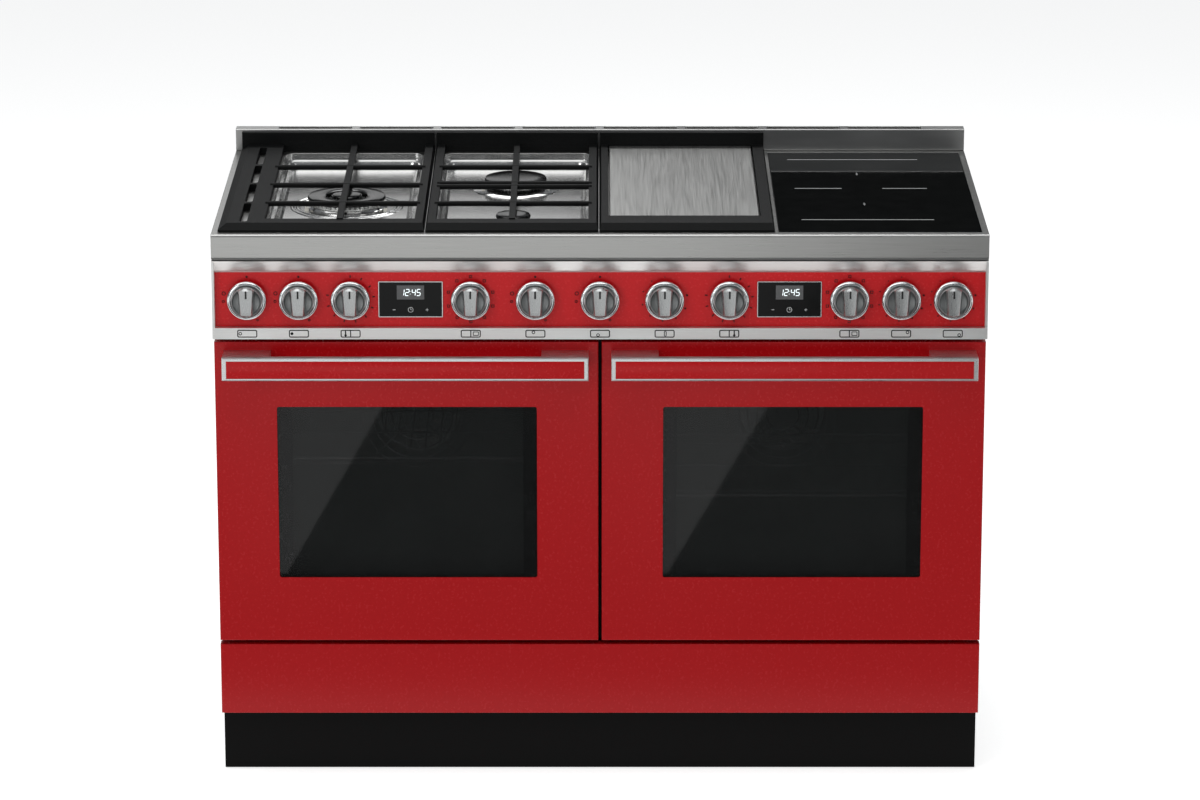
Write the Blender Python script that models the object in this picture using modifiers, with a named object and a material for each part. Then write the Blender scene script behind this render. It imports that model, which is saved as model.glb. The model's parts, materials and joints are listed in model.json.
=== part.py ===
"""Freestanding dual-fuel range: gas burners, griddle and induction zone over two electric ovens.

Metres, +Z up, +X to the right, the front faces -Y. The origin is on the floor, midway between
the handle fronts and the back. A setback is a distance behind the plane of the door fronts.
"""
import math

import bmesh
import bpy
from mathutils import Matrix, Vector

# Overall sizes
WIDTH = 1.200
DEPTH = 0.600                 # door fronts to the back
WORKTOP_HEIGHT = 0.890        # floor to the worktop
HANDLE_REACH = 0.050          # door front to the handle's front

# Sheet and fits
SHEET = 0.0015                # folded sheet steel
GAP = 0.0003                  # parting between pieces that touch
SIDE_STEP = 0.002             # the body is this much narrower than the worktop on each side
THROUGH = 0.02                # how far a cutter runs past the wall that it cuts
BITE = 0.001                  # how far a welded shape runs into its neighbour

# Worktop pressing and rear upstand
HOB_HEIGHT = 0.040
HOB_SKIN = 0.002
HOB_EDGE_RADIUS = 0.004
UPSTAND_HEIGHT = 0.036
UPSTAND_DEPTH = 0.026
VENT_COUNT = 8
VENT_END = 0.064
VENT_BRIDGE = 0.013
VENT_WIDTH = 0.014
VENT_RADIUS = 0.004
BASIN_DROP = 0.024
BASIN_FRONT = 0.030
BASIN_BACK = 0.045
BASIN_RADIUS = 0.016
BASIN_INSET = 0.003

# Hob modules from left to right: what is left over goes to the induction glass
HOB_SIDE = 0.010
PAN_LEFT_WIDTH = 0.3185
PAN_MIDDLE_WIDTH = 0.2675
GRIDDLE_WIDTH = 0.271
MODULE_GAP = 0.0015
MODULE_FRONT = 0.017
LIFT_PLAY = 0.0005            # lets a pan support lift past the upstand
GLASS_LEFT_TRIM = 0.006
GLASS_BACK = 0.040
GLASS_THICKNESS = 0.004
GLASS_LEDGE = 0.012

# Cast pan supports and griddle frame
CAST_FOOT = 0.003
CAST_RISE = 0.0087
CAST_RUN = 0.013              # the slope along the hob's front and its outer side
CAST_INNER_RUN = 0.003        # the slope on sides that face a neighbour
CAST_REAR_WALL = 0.0075
CAST_REAR_HEIGHT = 0.032
LEFT_BAR = 0.070
SIDE_BAR = 0.0155
FRONT_BAR = 0.040
GRATE_BAR = 0.010
GRATE_BAR_HEIGHT = 0.0075
GRATE_BAR_TOP = 0.0145
GRATE_BAR_RADIUS = 0.002
FINGER_STEP = 0.0005
SLOT_COUNT = 4
SLOT_WIDTH = 0.012
SLOT_FROM_SIDE = 0.038
SLOT_ENDS = 0.022
SLOT_BRIDGE = 0.010
DOUBLE_BAR_SPACING = 0.022

# Griddle plate
GRIDDLE_SURROUND_SIDE = 0.014
GRIDDLE_SURROUND_RIGHT = 0.020
GRIDDLE_SURROUND_FRONT = 0.060
GRIDDLE_PLATE_GAP = 0.002
GRIDDLE_PLATE_THICKNESS = 0.006
GRIDDLE_PLATE_RISE = 0.0105
GRIDDLE_EDGE_RADIUS = 0.0015
GRIDDLE_TUB_INSET = 0.012
GRIDDLE_TUB_DEPTH = 0.028
TUB_PLAY = 0.002

# Burners
FRONT_BURNER_SETBACK = 0.160
REAR_BURNER_FROM_BACK = 0.192
WOK_CAP_RADIUS = 0.0625
WOK_CAP_HOLE = 0.032
WOK_INNER_RADIUS = 0.024
REAR_CAP_RADIUS = 0.051
FRONT_CAP_RADIUS = 0.0275
FRONT_BASE_RADIUS = 0.0465
BURNER_STUB_RADIUS = 0.022
STUB_PLAY = 0.002
STUB_END = 0.004              # stub end above the worktop pressing's lower edge
BURNER_RIM = 0.003
BURNER_BASE_HEIGHT = 0.011
CAP_THICKNESS = 0.008
CAP_LIP = 0.0018
WOK_INNER_THICKNESS = 0.006
WOK_INNER_RAISE = 0.004

# Control fascia
FASCIA_HEIGHT = 0.1245
FASCIA_GAP = 0.002
FASCIA_RECESS = 0.0115
VISOR_HEIGHT = 0.019
LOWER_STRIP_HEIGHT = 0.018
FASCIA_CHEEK = 0.004
FASCIA_LAP = 0.002            # the fascia reaches this far behind the front frame
INSERT_THICKNESS = 0.0012
INSERT_TOP_PLAY = 0.001

# Knobs and displays: the gaps between them share what the fascia's width leaves
KNOB_RADIUS = 0.031
KNOB_FROM_EDGE = 0.054
KNOB_CLEAR = 0.005
KNOB_RING_DEPTH = 0.010
KNOB_CAP_RADIUS = 0.024
KNOB_CAP_DEPTH = 0.007
KNOB_GRIP_WIDTH = 0.015
KNOB_GRIP_DEPTH = 0.007
KNOB_GRIP_RADIUS = 0.004
KNOB_CHAMFER = 0.003
SHAFT_RADIUS = 0.004
SHAFT_HOLE_RADIUS = 0.007
SHAFT_LENGTH = 0.026
CENTRE_KNOB_GAP = 0.038
DISPLAY_GAP = 0.0135
OUTER_KNOB_GAP = 0.018
DISPLAY_WIDTH = 0.097
DISPLAY_HEIGHT = 0.0546
DISPLAY_PROUD = 0.002
DISPLAY_BODY_DEPTH = 0.022
DISPLAY_BODY_INSET = 0.006
DISPLAY_PLAY = 0.001

# Gas rail and valves
SPINDLE_TRAVEL = 0.004
SPINDLE_REACH = 0.012         # how far the spindle enters the knob
VALVE_GAP = 0.001             # between the fascia and the valves
VALVE_DEPTH = 0.040
VALVE_HALF = 0.013
RAIL_RADIUS = 0.008
RAIL_END = 0.020              # rail beyond its outer valves
RAIL_DROP = 0.004             # rail axis below the knob axis
VALVE_BORE_STOP = 0.011       # metal left behind the bore
SHAFT_PLAY = 0.0004

# Doors
DOOR_TOP_GAP = 0.0045
DOOR_CENTRE_GAP = 0.005
DOOR_PANEL_DEPTH = 0.022
DOOR_EDGE_RADIUS = 0.002
WINDOW_BORDER_SIDE = 0.0957
WINDOW_BORDER_TOP = 0.1045
WINDOW_BORDER_BOTTOM = 0.1045
WINDOW_CORNER = 0.003
GLASS_OVERLAP = 0.014
INNER_DOOR_INSET = 0.027
INNER_DOOR_DEPTH = 0.0154
INNER_DOOR_TOP_INSET = 0.0175
INNER_DOOR_CORNER = 0.006
INNER_WINDOW_BORDER = 0.090
HINGE_SETBACK = 0.012
HINGE_RISE = 0.013            # above the door's bottom edge
LUG_WIDTH = 0.008
LUG_FROM_EDGE = 0.0135
LUG_HALF_HEIGHT = 0.005
LUG_PLAY = 0.0015
HANDLE_END_INSET = 0.015
HANDLE_TOP_INSET = 0.0125
HANDLE_HEIGHT = 0.0365
HANDLE_BAR_DEPTH = 0.013
HANDLE_EDGE_RADIUS = 0.0015
HANDLE_FOOT_LENGTH = 0.073
HANDLE_FOOT_HEIGHT = 0.026
INLAY_DEPTH = 0.001
INLAY_BORDER_TOP = 0.005
INLAY_BORDER_BOTTOM = 0.0035
INLAY_BORDER_END = 0.0065

# Drawer, plinth and feet
PLINTH_HEIGHT = 0.110
PLINTH_RECESS = 0.050
PLINTH_FLOOR_GAP = 0.002
PLINTH_BACK_GAP = 0.010
DRAWER_FLOAT = 0.001          # drawer front above the plinth
BODY_FLOAT = 0.002            # base pan above the plinth
DRAWER_FRONT_HEIGHT = 0.115
DRAWER_FRONT_DEPTH = 0.020
DRAWER_GAP = 0.006            # between the drawer front and the doors
DRAWER_SIDE_ROOM = 0.050
DRAWER_BACK_ROOM = 0.070
DRAWER_BOX_HEIGHT = 0.070
DRAWER_BOX_FLOAT = 0.002      # drawer box above the base pan
DRAWER_MOUTH_LAP = 0.004      # the drawer front laps over its mouth by this much
RUNNER_WIDTH = 0.008
RUNNER_HEIGHT = 0.022
RUNNER_PLAY = 0.001
PAN_DEPTH = 0.016
FOOT_RADIUS = 0.025
FOOT_PAD_HEIGHT = 0.010
FOOT_STEM_RADIUS = 0.008
FOOT_CONE_HEIGHT = 0.012
FOOT_FROM_SIDE = 0.060
FOOT_FROM_PLINTH = 0.040

# Ovens
DOOR_SEAL_GAP = 0.0023        # between the inner door and the front frame
FRAME_THICKNESS = 0.003
OVEN_SIDE_ROOM = 0.066        # door edge to the cavity wall
OVEN_TOP_ROOM = 0.050         # door top to the cavity ceiling
OVEN_BOTTOM_ROOM = 0.055      # door bottom to the cavity floor
OVEN_DEPTH = 0.430
OVEN_WALL = 0.002
SHELF_LEVELS = 6
LEFT_RACK_LEVEL = 4
RIGHT_RACK_LEVEL = 3
LEDGE_WIDTH = 0.010
LEDGE_HEIGHT = 0.003
LEDGE_FRONT = 0.008
RACK_THICKNESS = 0.005
RACK_SIDE_PLAY = 0.003
RACK_FRONT = 0.010
RACK_DEPTH = 0.350
RACK_SLOTS = 11
RACK_ROD = 0.004
FAN_RADIUS = 0.070
FAN_BLADES = 8
FAN_DEPTH = 0.022
FAN_WALL_GAP = 0.006
FAN_SHAFT_RADIUS = 0.005
FAN_SHAFT_LENGTH = 0.040
FAN_SHAFT_PLAY = 0.003
FAN_PLATE = 0.002
FAN_NOSE = 0.008
FAN_BLADE_HALF = 0.0008
FAN_BLADE_REACH = (0.45, 0.97)   # blade ends as shares of the fan radius

# Places that follow from the sizes above
FRONT_Y = (HANDLE_REACH - DEPTH) / 2
HALF = WIDTH / 2
BODY_HALF = HALF - SIDE_STEP
HOB_TOP_Z = WORKTOP_HEIGHT
HOB_LOW_Z = HOB_TOP_Z - HOB_HEIGHT
BASIN_Z = HOB_TOP_Z - BASIN_DROP
FASCIA_TOP_Z = HOB_LOW_Z - FASCIA_GAP
FASCIA_LOW_Z = FASCIA_TOP_Z - FASCIA_HEIGHT
INSERT_TOP_Z = FASCIA_TOP_Z - VISOR_HEIGHT
INSERT_LOW_Z = FASCIA_LOW_Z + LOWER_STRIP_HEIGHT
KNOB_Z = (INSERT_TOP_Z + INSERT_LOW_Z) / 2
DOOR_TOP_Z = FASCIA_LOW_Z - DOOR_TOP_GAP
DRAWER_LOW_Z = PLINTH_HEIGHT + DRAWER_FLOAT
DRAWER_TOP_Z = DRAWER_LOW_Z + DRAWER_FRONT_HEIGHT
DOOR_LOW_Z = DRAWER_TOP_Z + DRAWER_GAP
DOOR_INNER_X = DOOR_CENTRE_GAP / 2
DOOR_WIDTH = BODY_HALF - DOOR_INNER_X
DOOR_CENTRE = DOOR_INNER_X + DOOR_WIDTH / 2
HINGE_Z = DOOR_LOW_Z + HINGE_RISE
BODY_LOW_Z = PLINTH_HEIGHT + BODY_FLOAT
PAN_TOP_Z = BODY_LOW_Z + PAN_DEPTH
CAVITY_HALF = DOOR_WIDTH / 2 - OVEN_SIDE_ROOM
CAVITY_LOW_Z = DOOR_LOW_Z + OVEN_BOTTOM_ROOM
CAVITY_TOP_Z = DOOR_TOP_Z - OVEN_TOP_ROOM
FRAME_SETBACK = DOOR_PANEL_DEPTH + GAP + INNER_DOOR_DEPTH + DOOR_SEAL_GAP
OVEN_FRONT = FRAME_SETBACK + FRAME_THICKNESS + GAP
FASCIA_DEPTH = FRAME_SETBACK + FRAME_THICKNESS + FASCIA_LAP
SHELL_FRONT = FASCIA_DEPTH + GAP
VALVE_SETBACK = FASCIA_DEPTH + VALVE_GAP
INSERT_SETBACK = FASCIA_RECESS - GAP - INSERT_THICKNESS
KNOB_BACK = INSERT_SETBACK - KNOB_CLEAR
KNOB_FRONT = KNOB_BACK - KNOB_RING_DEPTH - KNOB_CAP_DEPTH
MODULE_BACK = DEPTH - UPSTAND_DEPTH - LIFT_PLAY

PAN_LEFT_X = (-HALF + HOB_SIDE, -HALF + HOB_SIDE + PAN_LEFT_WIDTH)
PAN_MIDDLE_X = (PAN_LEFT_X[1] + MODULE_GAP, PAN_LEFT_X[1] + MODULE_GAP + PAN_MIDDLE_WIDTH)
GRIDDLE_X = (PAN_MIDDLE_X[1] + MODULE_GAP, PAN_MIDDLE_X[1] + MODULE_GAP + GRIDDLE_WIDTH)
GLASS_X = (GRIDDLE_X[1] + GLASS_LEFT_TRIM, HALF - HOB_SIDE)
LEFT_OPENING_X = (PAN_LEFT_X[0] + LEFT_BAR, PAN_LEFT_X[1] - SIDE_BAR)
MIDDLE_OPENING_X = (PAN_MIDDLE_X[0] + SIDE_BAR, PAN_MIDDLE_X[1] - SIDE_BAR)
WOK_X = sum(LEFT_OPENING_X) / 2
MIDDLE_X = sum(MIDDLE_OPENING_X) / 2
REAR_BURNER_SETBACK = DEPTH - REAR_BURNER_FROM_BACK
WOK_SETBACK = (FRONT_BURNER_SETBACK + REAR_BURNER_SETBACK) / 2

STAINLESS = ("stainless_steel", (0.62, 0.62, 0.61), 0.30, 1.0)
RED_ENAMEL = ("red_enamel", (0.32, 0.008, 0.012), 0.25, 0.0)
BLACK_ENAMEL = ("black_enamel", (0.012, 0.012, 0.012), 0.35, 0.0)
CAST_IRON = ("cast_iron", (0.025, 0.026, 0.025), 0.55, 0.0)
BLACK_GLASS = ("black_glass", (0.006, 0.007, 0.007), 0.06, 0.0)
CHROME = ("satin_chrome", (0.70, 0.70, 0.70), 0.18, 1.0)
GREY_ENAMEL = ("grey_enamel", (0.05, 0.05, 0.052), 0.40, 0.0)
GALVANISED = ("galvanised_steel", (0.45, 0.46, 0.46), 0.45, 1.0)
BRASS = ("brass", (0.60, 0.42, 0.16), 0.35, 1.0)


def start_collections():
    """Empty the scene and make one collection for the range and one for its cutters."""
    for item in list(bpy.data.objects):
        bpy.data.objects.remove(item)
    made = []
    for name in ("freestanding_range", "cutters"):
        collection = bpy.data.collections.new(name)
        bpy.context.scene.collection.children.link(collection)
        made.append(collection)
    return made


PARTS, CUTTERS = start_collections()


def finish_material(finish):
    """The Principled material of a finish, made once and shared by its pieces."""
    name, colour, roughness, metallic = finish
    material = bpy.data.materials.get(name)
    if material is None:
        material = bpy.data.materials.new(name)
        material.use_nodes = True
        shader = material.node_tree.nodes["Principled BSDF"]
        shader.inputs["Base Color"].default_value = (*colour, 1.0)
        shader.inputs["Roughness"].default_value = roughness
        shader.inputs["Metallic"].default_value = metallic
    return material


def y_at(setback):
    """The Y of a point that lies a setback behind the door fronts."""
    return FRONT_Y + setback


def box(x, setback, z, radius=0.0, around="", segments=3):
    """A box from its ranges in X, setback and Z; edges along the axes in around are rounded."""
    low = Vector((x[0], y_at(setback[0]), z[0]))
    high = Vector((x[1], y_at(setback[1]), z[1]))
    mesh = bmesh.new()
    size = high - low
    place = Matrix.Translation((low + high) / 2) @ Matrix.Diagonal((*size, 1.0))
    bmesh.ops.create_cube(mesh, size=1.0, matrix=place)
    if radius:
        wanted = []
        for edge in mesh.edges:
            run = edge.verts[1].co - edge.verts[0].co
            along = max(range(3), key=lambda axis: abs(run[axis]))
            if "XYZ"[along] in around:
                wanted.append(edge)
        radius = min(radius, 0.45 * min(size))
        bmesh.ops.bevel(mesh, geom=wanted, offset=radius, segments=segments, profile=0.5,
                        affect="EDGES")
    return mesh


def cylinder(centre, radius, length, axis="Z", sides=32):
    """A cylinder that starts at centre (X, setback, Z) and runs its length along an axis."""
    turn = {"Z": Matrix.Identity(4), "X": Matrix.Rotation(math.pi / 2, 4, "Y"),
            "Y": Matrix.Rotation(-math.pi / 2, 4, "X")}[axis]
    place = Matrix.Translation((centre[0], y_at(centre[1]), centre[2])) @ turn
    mesh = bmesh.new()
    bmesh.ops.create_cone(mesh, cap_ends=True, segments=sides, radius1=radius, radius2=radius,
                          depth=length, matrix=place @ Matrix.Translation((0, 0, length / 2)))
    return mesh


def bevelled_slab(x, setback, low_z, foot, rise, runs):
    """A slab with upright lower edges, and sloping ones above: runs are left, right, front, back."""
    mesh = box(x, setback, (low_z, low_z + foot))
    top = [face for face in mesh.faces if face.normal.z > 0.9]
    grown = bmesh.ops.extrude_face_region(mesh, geom=top)
    corners = [item for item in grown["geom"] if isinstance(item, bmesh.types.BMVert)]
    bmesh.ops.delete(mesh, geom=top, context="FACES")
    left, right, front, back = runs
    middle_x, middle_y = sum(x) / 2, y_at(sum(setback) / 2)
    for corner in corners:
        corner.co.x += left if corner.co.x < middle_x else -right
        corner.co.y += front if corner.co.y < middle_y else -back
        corner.co.z += rise
    return mesh


def add_object(name, mesh_data, collection):
    """An object for a mesh, in its collection; cutters are drawn as wire and not rendered."""
    item = bpy.data.objects.new(name, mesh_data)
    collection.objects.link(item)
    if collection is CUTTERS:
        item.display_type = "WIRE"
        item.hide_render = True
    return item


def piece(name, shape, finish, origin=(0.0, 0.0, 0.0)):
    """A named sub-part from a shape drawn in place, with its origin on its joint's axis."""
    shape.transform(Matrix.Translation(-Vector(origin)))
    data = bpy.data.meshes.new(name)
    shape.to_mesh(data)
    shape.free()
    data.materials.append(finish_material(finish))
    item = add_object(name, data, PARTS)
    item.location = origin
    return item


def operand(item, shapes, operation):
    """Put shapes that don't touch each other in one cutter object and use it on a piece."""
    data = bpy.data.meshes.new(item.name + "_cutter")
    joined = bmesh.new()
    for shape in shapes:
        shape.to_mesh(data)
        shape.free()
        joined.from_mesh(data)
    joined.to_mesh(data)
    joined.free()
    tool = add_object(item.name + "_" + operation.lower(), data, CUTTERS)
    use_tool(item, tool, operation)


def use_tool(item, tool, operation):
    """A Boolean modifier on a piece, with the exact solver."""
    step = item.modifiers.new(operation.lower(), "BOOLEAN")
    step.operation = operation
    step.solver = "EXACT"
    step.object = tool


def cut(item, *shapes):
    """Take shapes away from a piece."""
    operand(item, shapes, "DIFFERENCE")


def join(item, *shapes):
    """Weld shapes onto a piece."""
    operand(item, shapes, "UNION")


def turned(name, profile, origin, finish=None, axis="Z", sides=32):
    """A turned piece or tool from (radius, height) points that run down its outer side."""
    data = bpy.data.meshes.new(name)
    points = [(radius, 0.0, height) for radius, height in profile]
    edges = [(index, index + 1) for index in range(len(points) - 1)]
    data.from_pydata(points, edges, [])
    item = add_object(name, data, PARTS if finish else CUTTERS)
    item.location = origin
    if axis == "Y":
        item.rotation_euler = (math.pi / 2, 0.0, 0.0)
    screw = item.modifiers.new("turn", "SCREW")
    screw.axis = "Z"
    screw.steps = sides
    screw.render_steps = sides
    screw.use_merge_vertices = True
    screw.merge_threshold = 0.00001
    screw.use_smooth_shade = False
    if finish:
        data.materials.append(finish_material(finish))
    return item


def profile_bar(name, outline, x, finish):
    """A bar along X with a (setback, Z) outline, drawn as a filled curve and made a mesh."""
    curve = bpy.data.curves.new(name, "CURVE")
    curve.dimensions = "2D"
    curve.fill_mode = "BOTH"
    curve.extrude = (x[1] - x[0]) / 2
    spline = curve.splines.new("POLY")
    spline.points.add(len(outline) - 1)
    for point, (setback, z) in zip(spline.points, outline):
        point.co = (y_at(setback), z, 0.0, 1.0)
    spline.use_cyclic_u = True
    drawn = add_object(name + "_outline", curve, CUTTERS)
    bpy.context.view_layer.update()
    seen = drawn.evaluated_get(bpy.context.evaluated_depsgraph_get())
    flat = bpy.data.meshes.new_from_object(seen)
    bpy.data.objects.remove(drawn)
    shape = bmesh.new()
    shape.from_mesh(flat)
    bmesh.ops.remove_doubles(shape, verts=shape.verts, dist=0.00001)
    upright = Matrix(((0, 0, 1, sum(x) / 2), (1, 0, 0, 0), (0, 1, 0, 0), (0, 0, 0, 1)))
    shape.transform(upright)
    return piece(name, shape, finish)


def knob_places():
    """Centres of the knobs and displays along X, from the middle out to each side."""
    gaps = (CENTRE_KNOB_GAP, CENTRE_KNOB_GAP, DISPLAY_GAP, DISPLAY_GAP, OUTER_KNOB_GAP,
            OUTER_KNOB_GAP)
    half_widths = (KNOB_RADIUS, KNOB_RADIUS, KNOB_RADIUS, DISPLAY_WIDTH / 2, KNOB_RADIUS,
                   KNOB_RADIUS, KNOB_RADIUS)
    taken = sum(half_widths[i] + half_widths[i + 1] for i in range(6))
    share = (HALF - KNOB_FROM_EDGE - taken) / sum(gaps)
    places = [0.0]
    for index, gap in enumerate(gaps):
        step = half_widths[index] + half_widths[index + 1] + gap * share
        places.append(places[-1] + step)
    display = places.pop(3)
    knobs = [-place for place in reversed(places[1:])] + places
    return knobs, display


KNOB_XS, DISPLAY_X = knob_places()
GAS_KNOBS = (1, 2, 5, 6)
KNOB_USES = {1: "wok_outer", 2: "wok_inner", 3: "left_oven_heat", 4: "left_oven_mode",
             5: "rear_burner", 6: "front_burner", 7: "griddle", 8: "right_oven_heat",
             9: "right_oven_mode", 10: "zone_front", 11: "zone_rear"}


def make_casing():
    """Side panels, back panel and the base pan that carries the drawer runners."""
    for side, name in ((-1, "side_panel_left"), (1, "side_panel_right")):
        x = sorted((side * BODY_HALF, side * (BODY_HALF - SHEET)))
        piece(name, box(x, (SHELL_FRONT, DEPTH - SHEET - GAP), (BODY_LOW_Z, HOB_LOW_Z - GAP)),
              GALVANISED)
    inside = BODY_HALF - SHEET - GAP
    piece("back_panel", box((-inside, inside), (DEPTH - SHEET, DEPTH),
                            (BODY_LOW_Z, HOB_LOW_Z - GAP)), GALVANISED)
    pan_back = DEPTH - SHEET - GAP
    pan = piece("base_pan", box((-inside, inside), (SHELL_FRONT, pan_back), (BODY_LOW_Z, PAN_TOP_Z)),
                GALVANISED)
    cut(pan, box((-inside + SHEET, inside - SHEET), (SHELL_FRONT + SHEET, pan_back - SHEET),
                 (BODY_LOW_Z - THROUGH, PAN_TOP_Z - SHEET)))
    runners = []
    for side in (-1, 1):
        inner = BODY_HALF - DRAWER_SIDE_ROOM + RUNNER_PLAY
        x = sorted((side * inner, side * (inner + RUNNER_WIDTH)))
        runners.append(box(x, (SHELL_FRONT + SHEET, DEPTH - DRAWER_BACK_ROOM),
                           (PAN_TOP_Z - SHEET / 2, PAN_TOP_Z + RUNNER_HEIGHT)))
    join(pan, *runners)


def make_plinth_and_feet():
    """The recessed black plinth with its side returns, and four levelling feet."""
    back = DEPTH - PLINTH_BACK_GAP
    plinth = piece("plinth", box((-BODY_HALF, BODY_HALF), (PLINTH_RECESS, back),
                                 (PLINTH_FLOOR_GAP, PLINTH_HEIGHT)), BLACK_ENAMEL)
    inside = BODY_HALF - SHEET
    cut(plinth, box((-inside, inside), (PLINTH_RECESS + SHEET, back + THROUGH),
                    (-THROUGH, PLINTH_HEIGHT + THROUGH)))
    top = PAN_TOP_Z - SHEET - GAP
    profile = ((0.0, top), (FOOT_STEM_RADIUS, top), (FOOT_STEM_RADIUS, FOOT_PAD_HEIGHT + FOOT_CONE_HEIGHT),
               (FOOT_RADIUS * 0.7, FOOT_PAD_HEIGHT), (FOOT_RADIUS, FOOT_PAD_HEIGHT),
               (FOOT_RADIUS, 0.0), (0.0, 0.0))
    setbacks = {"front": PLINTH_RECESS + FOOT_FROM_PLINTH, "rear": back - FOOT_FROM_PLINTH}
    for depth_name, setback in setbacks.items():
        for side, side_name in ((-1, "left"), (1, "right")):
            place = (side * (BODY_HALF - FOOT_FROM_SIDE), y_at(setback), 0.0)
            turned(f"foot_{depth_name}_{side_name}", profile, place, BLACK_ENAMEL, sides=20)


def make_front_frame():
    """The plate behind the doors, with oven mouths, drawer mouth and the door hinge lugs."""
    back = FRAME_SETBACK + FRAME_THICKNESS
    frame = piece("front_frame", box((-BODY_HALF, BODY_HALF), (FRAME_SETBACK, back),
                                     (BODY_LOW_Z, FASCIA_LOW_Z - GAP)), STAINLESS)
    mouths = [box((side * DOOR_CENTRE - CAVITY_HALF, side * DOOR_CENTRE + CAVITY_HALF),
                  (FRAME_SETBACK - THROUGH, back + THROUGH), (CAVITY_LOW_Z, CAVITY_TOP_Z))
              for side in (-1, 1)]
    drawer_half = BODY_HALF - DRAWER_SIDE_ROOM + RUNNER_PLAY + RUNNER_WIDTH
    mouths.append(box((-drawer_half, drawer_half), (FRAME_SETBACK - THROUGH, back + THROUGH),
                      (PAN_TOP_Z, DRAWER_TOP_Z - DRAWER_MOUTH_LAP)))
    cut(frame, *mouths)
    lugs = []
    for side in (-1, 1):
        for edge in (-1, 1):
            middle = lug_x(side, edge)
            lugs.append(box((middle - LUG_WIDTH / 2, middle + LUG_WIDTH / 2),
                            (HINGE_SETBACK - LUG_HALF_HEIGHT, FRAME_SETBACK + FRAME_THICKNESS / 2),
                            (HINGE_Z - LUG_HALF_HEIGHT, HINGE_Z + LUG_HALF_HEIGHT),
                            LUG_HALF_HEIGHT * 0.8, "X"))
    join(frame, *lugs)


def lug_x(side, edge):
    """The middle of a hinge lug, near one edge of the door on one side."""
    return side * DOOR_CENTRE + edge * (DOOR_WIDTH / 2 - LUG_FROM_EDGE)


def rounded_hollow(x, setback, floor_z):
    """The hollow of a burner basin: rounded corners, open above the worktop."""
    return box(x, setback, (floor_z, HOB_TOP_Z + 2 * BASIN_RADIUS), BASIN_RADIUS, "XYZ", 4)


def make_hob_top():
    """The pressed worktop with two basins, burner holes, griddle cut-out and glass recess."""
    hob = piece("hob_top", box((-HALF, HALF), (0.0, DEPTH), (HOB_LOW_Z, HOB_TOP_Z),
                               HOB_EDGE_RADIUS, "X", 4), STAINLESS)
    cut(hob, box((-HALF + HOB_SKIN, HALF - HOB_SKIN), (HOB_SKIN, DEPTH - HOB_SKIN),
                 (HOB_LOW_Z - THROUGH, HOB_TOP_Z - HOB_SKIN)))
    basins = basin_ranges()
    back = DEPTH - BASIN_BACK
    walls = [box((x[0] - HOB_SKIN, x[1] + HOB_SKIN), (BASIN_FRONT - HOB_SKIN, back + HOB_SKIN),
                 (BASIN_Z - HOB_SKIN, HOB_TOP_Z - HOB_SKIN / 2)) for x in basins]
    glass_back = DEPTH - GLASS_BACK
    ledge = (GLASS_X[0] - HOB_SKIN, GLASS_X[1] + HOB_SKIN)
    walls.append(box(ledge, (MODULE_FRONT - HOB_SKIN, glass_back + HOB_SKIN),
                     (HOB_TOP_Z - GLASS_THICKNESS - 2 * HOB_SKIN, HOB_TOP_Z - HOB_SKIN / 2)))
    join(hob, *walls)
    hollows = [rounded_hollow(x, (BASIN_FRONT, back), BASIN_Z) for x in basins]
    hollows.append(box((GLASS_X[0] - GAP, GLASS_X[1] + GAP), (MODULE_FRONT - GAP, glass_back + GAP),
                       (HOB_TOP_Z - GLASS_THICKNESS - GAP, HOB_TOP_Z + THROUGH)))
    tub_x, tub_setback = griddle_tub_ranges()
    hollows.append(box((tub_x[0] - TUB_PLAY, tub_x[1] + TUB_PLAY),
                       (tub_setback[0] - TUB_PLAY, tub_setback[1] + TUB_PLAY),
                       (HOB_LOW_Z, HOB_TOP_Z + THROUGH)))
    cut(hob, *hollows)
    holes = [box((GLASS_X[0] + GLASS_LEDGE, GLASS_X[1] - GLASS_LEDGE),
                 (MODULE_FRONT + GLASS_LEDGE, glass_back - GLASS_LEDGE), (HOB_LOW_Z, HOB_TOP_Z))]
    for x, setback in ((WOK_X, WOK_SETBACK), (MIDDLE_X, REAR_BURNER_SETBACK),
                       (MIDDLE_X, FRONT_BURNER_SETBACK)):
        holes.append(cylinder((x, setback, HOB_LOW_Z), BURNER_STUB_RADIUS + STUB_PLAY, HOB_HEIGHT,
                              sides=24))
    cut(hob, *holes)
    piece("induction_glass", box(GLASS_X, (MODULE_FRONT, glass_back),
                                 (HOB_TOP_Z - GLASS_THICKNESS, HOB_TOP_Z)), BLACK_GLASS)


def basin_ranges():
    """The X ranges of the two burner basins, under the openings of the pan supports."""
    left = (LEFT_OPENING_X[0] + BASIN_INSET, LEFT_OPENING_X[1] - BASIN_INSET)
    middle = (MIDDLE_OPENING_X[0] - BASIN_INSET, MIDDLE_OPENING_X[1] + BASIN_INSET)
    return left, middle


def griddle_plate_ranges():
    """X and setback ranges of the griddle plate, inside its cast frame."""
    x = (GRIDDLE_X[0] + GRIDDLE_SURROUND_SIDE + GRIDDLE_PLATE_GAP,
         GRIDDLE_X[1] - GRIDDLE_SURROUND_RIGHT - GRIDDLE_PLATE_GAP)
    setback = (MODULE_FRONT + GRIDDLE_SURROUND_FRONT + GRIDDLE_PLATE_GAP,
               MODULE_BACK - CAST_REAR_WALL - GRIDDLE_PLATE_GAP)
    return x, setback


def griddle_tub_ranges():
    """X and setback ranges of the heated tub under the griddle plate."""
    x, setback = griddle_plate_ranges()
    return ((x[0] + GRIDDLE_TUB_INSET, x[1] - GRIDDLE_TUB_INSET),
            (setback[0] + GRIDDLE_TUB_INSET, setback[1] - GRIDDLE_TUB_INSET))


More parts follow.
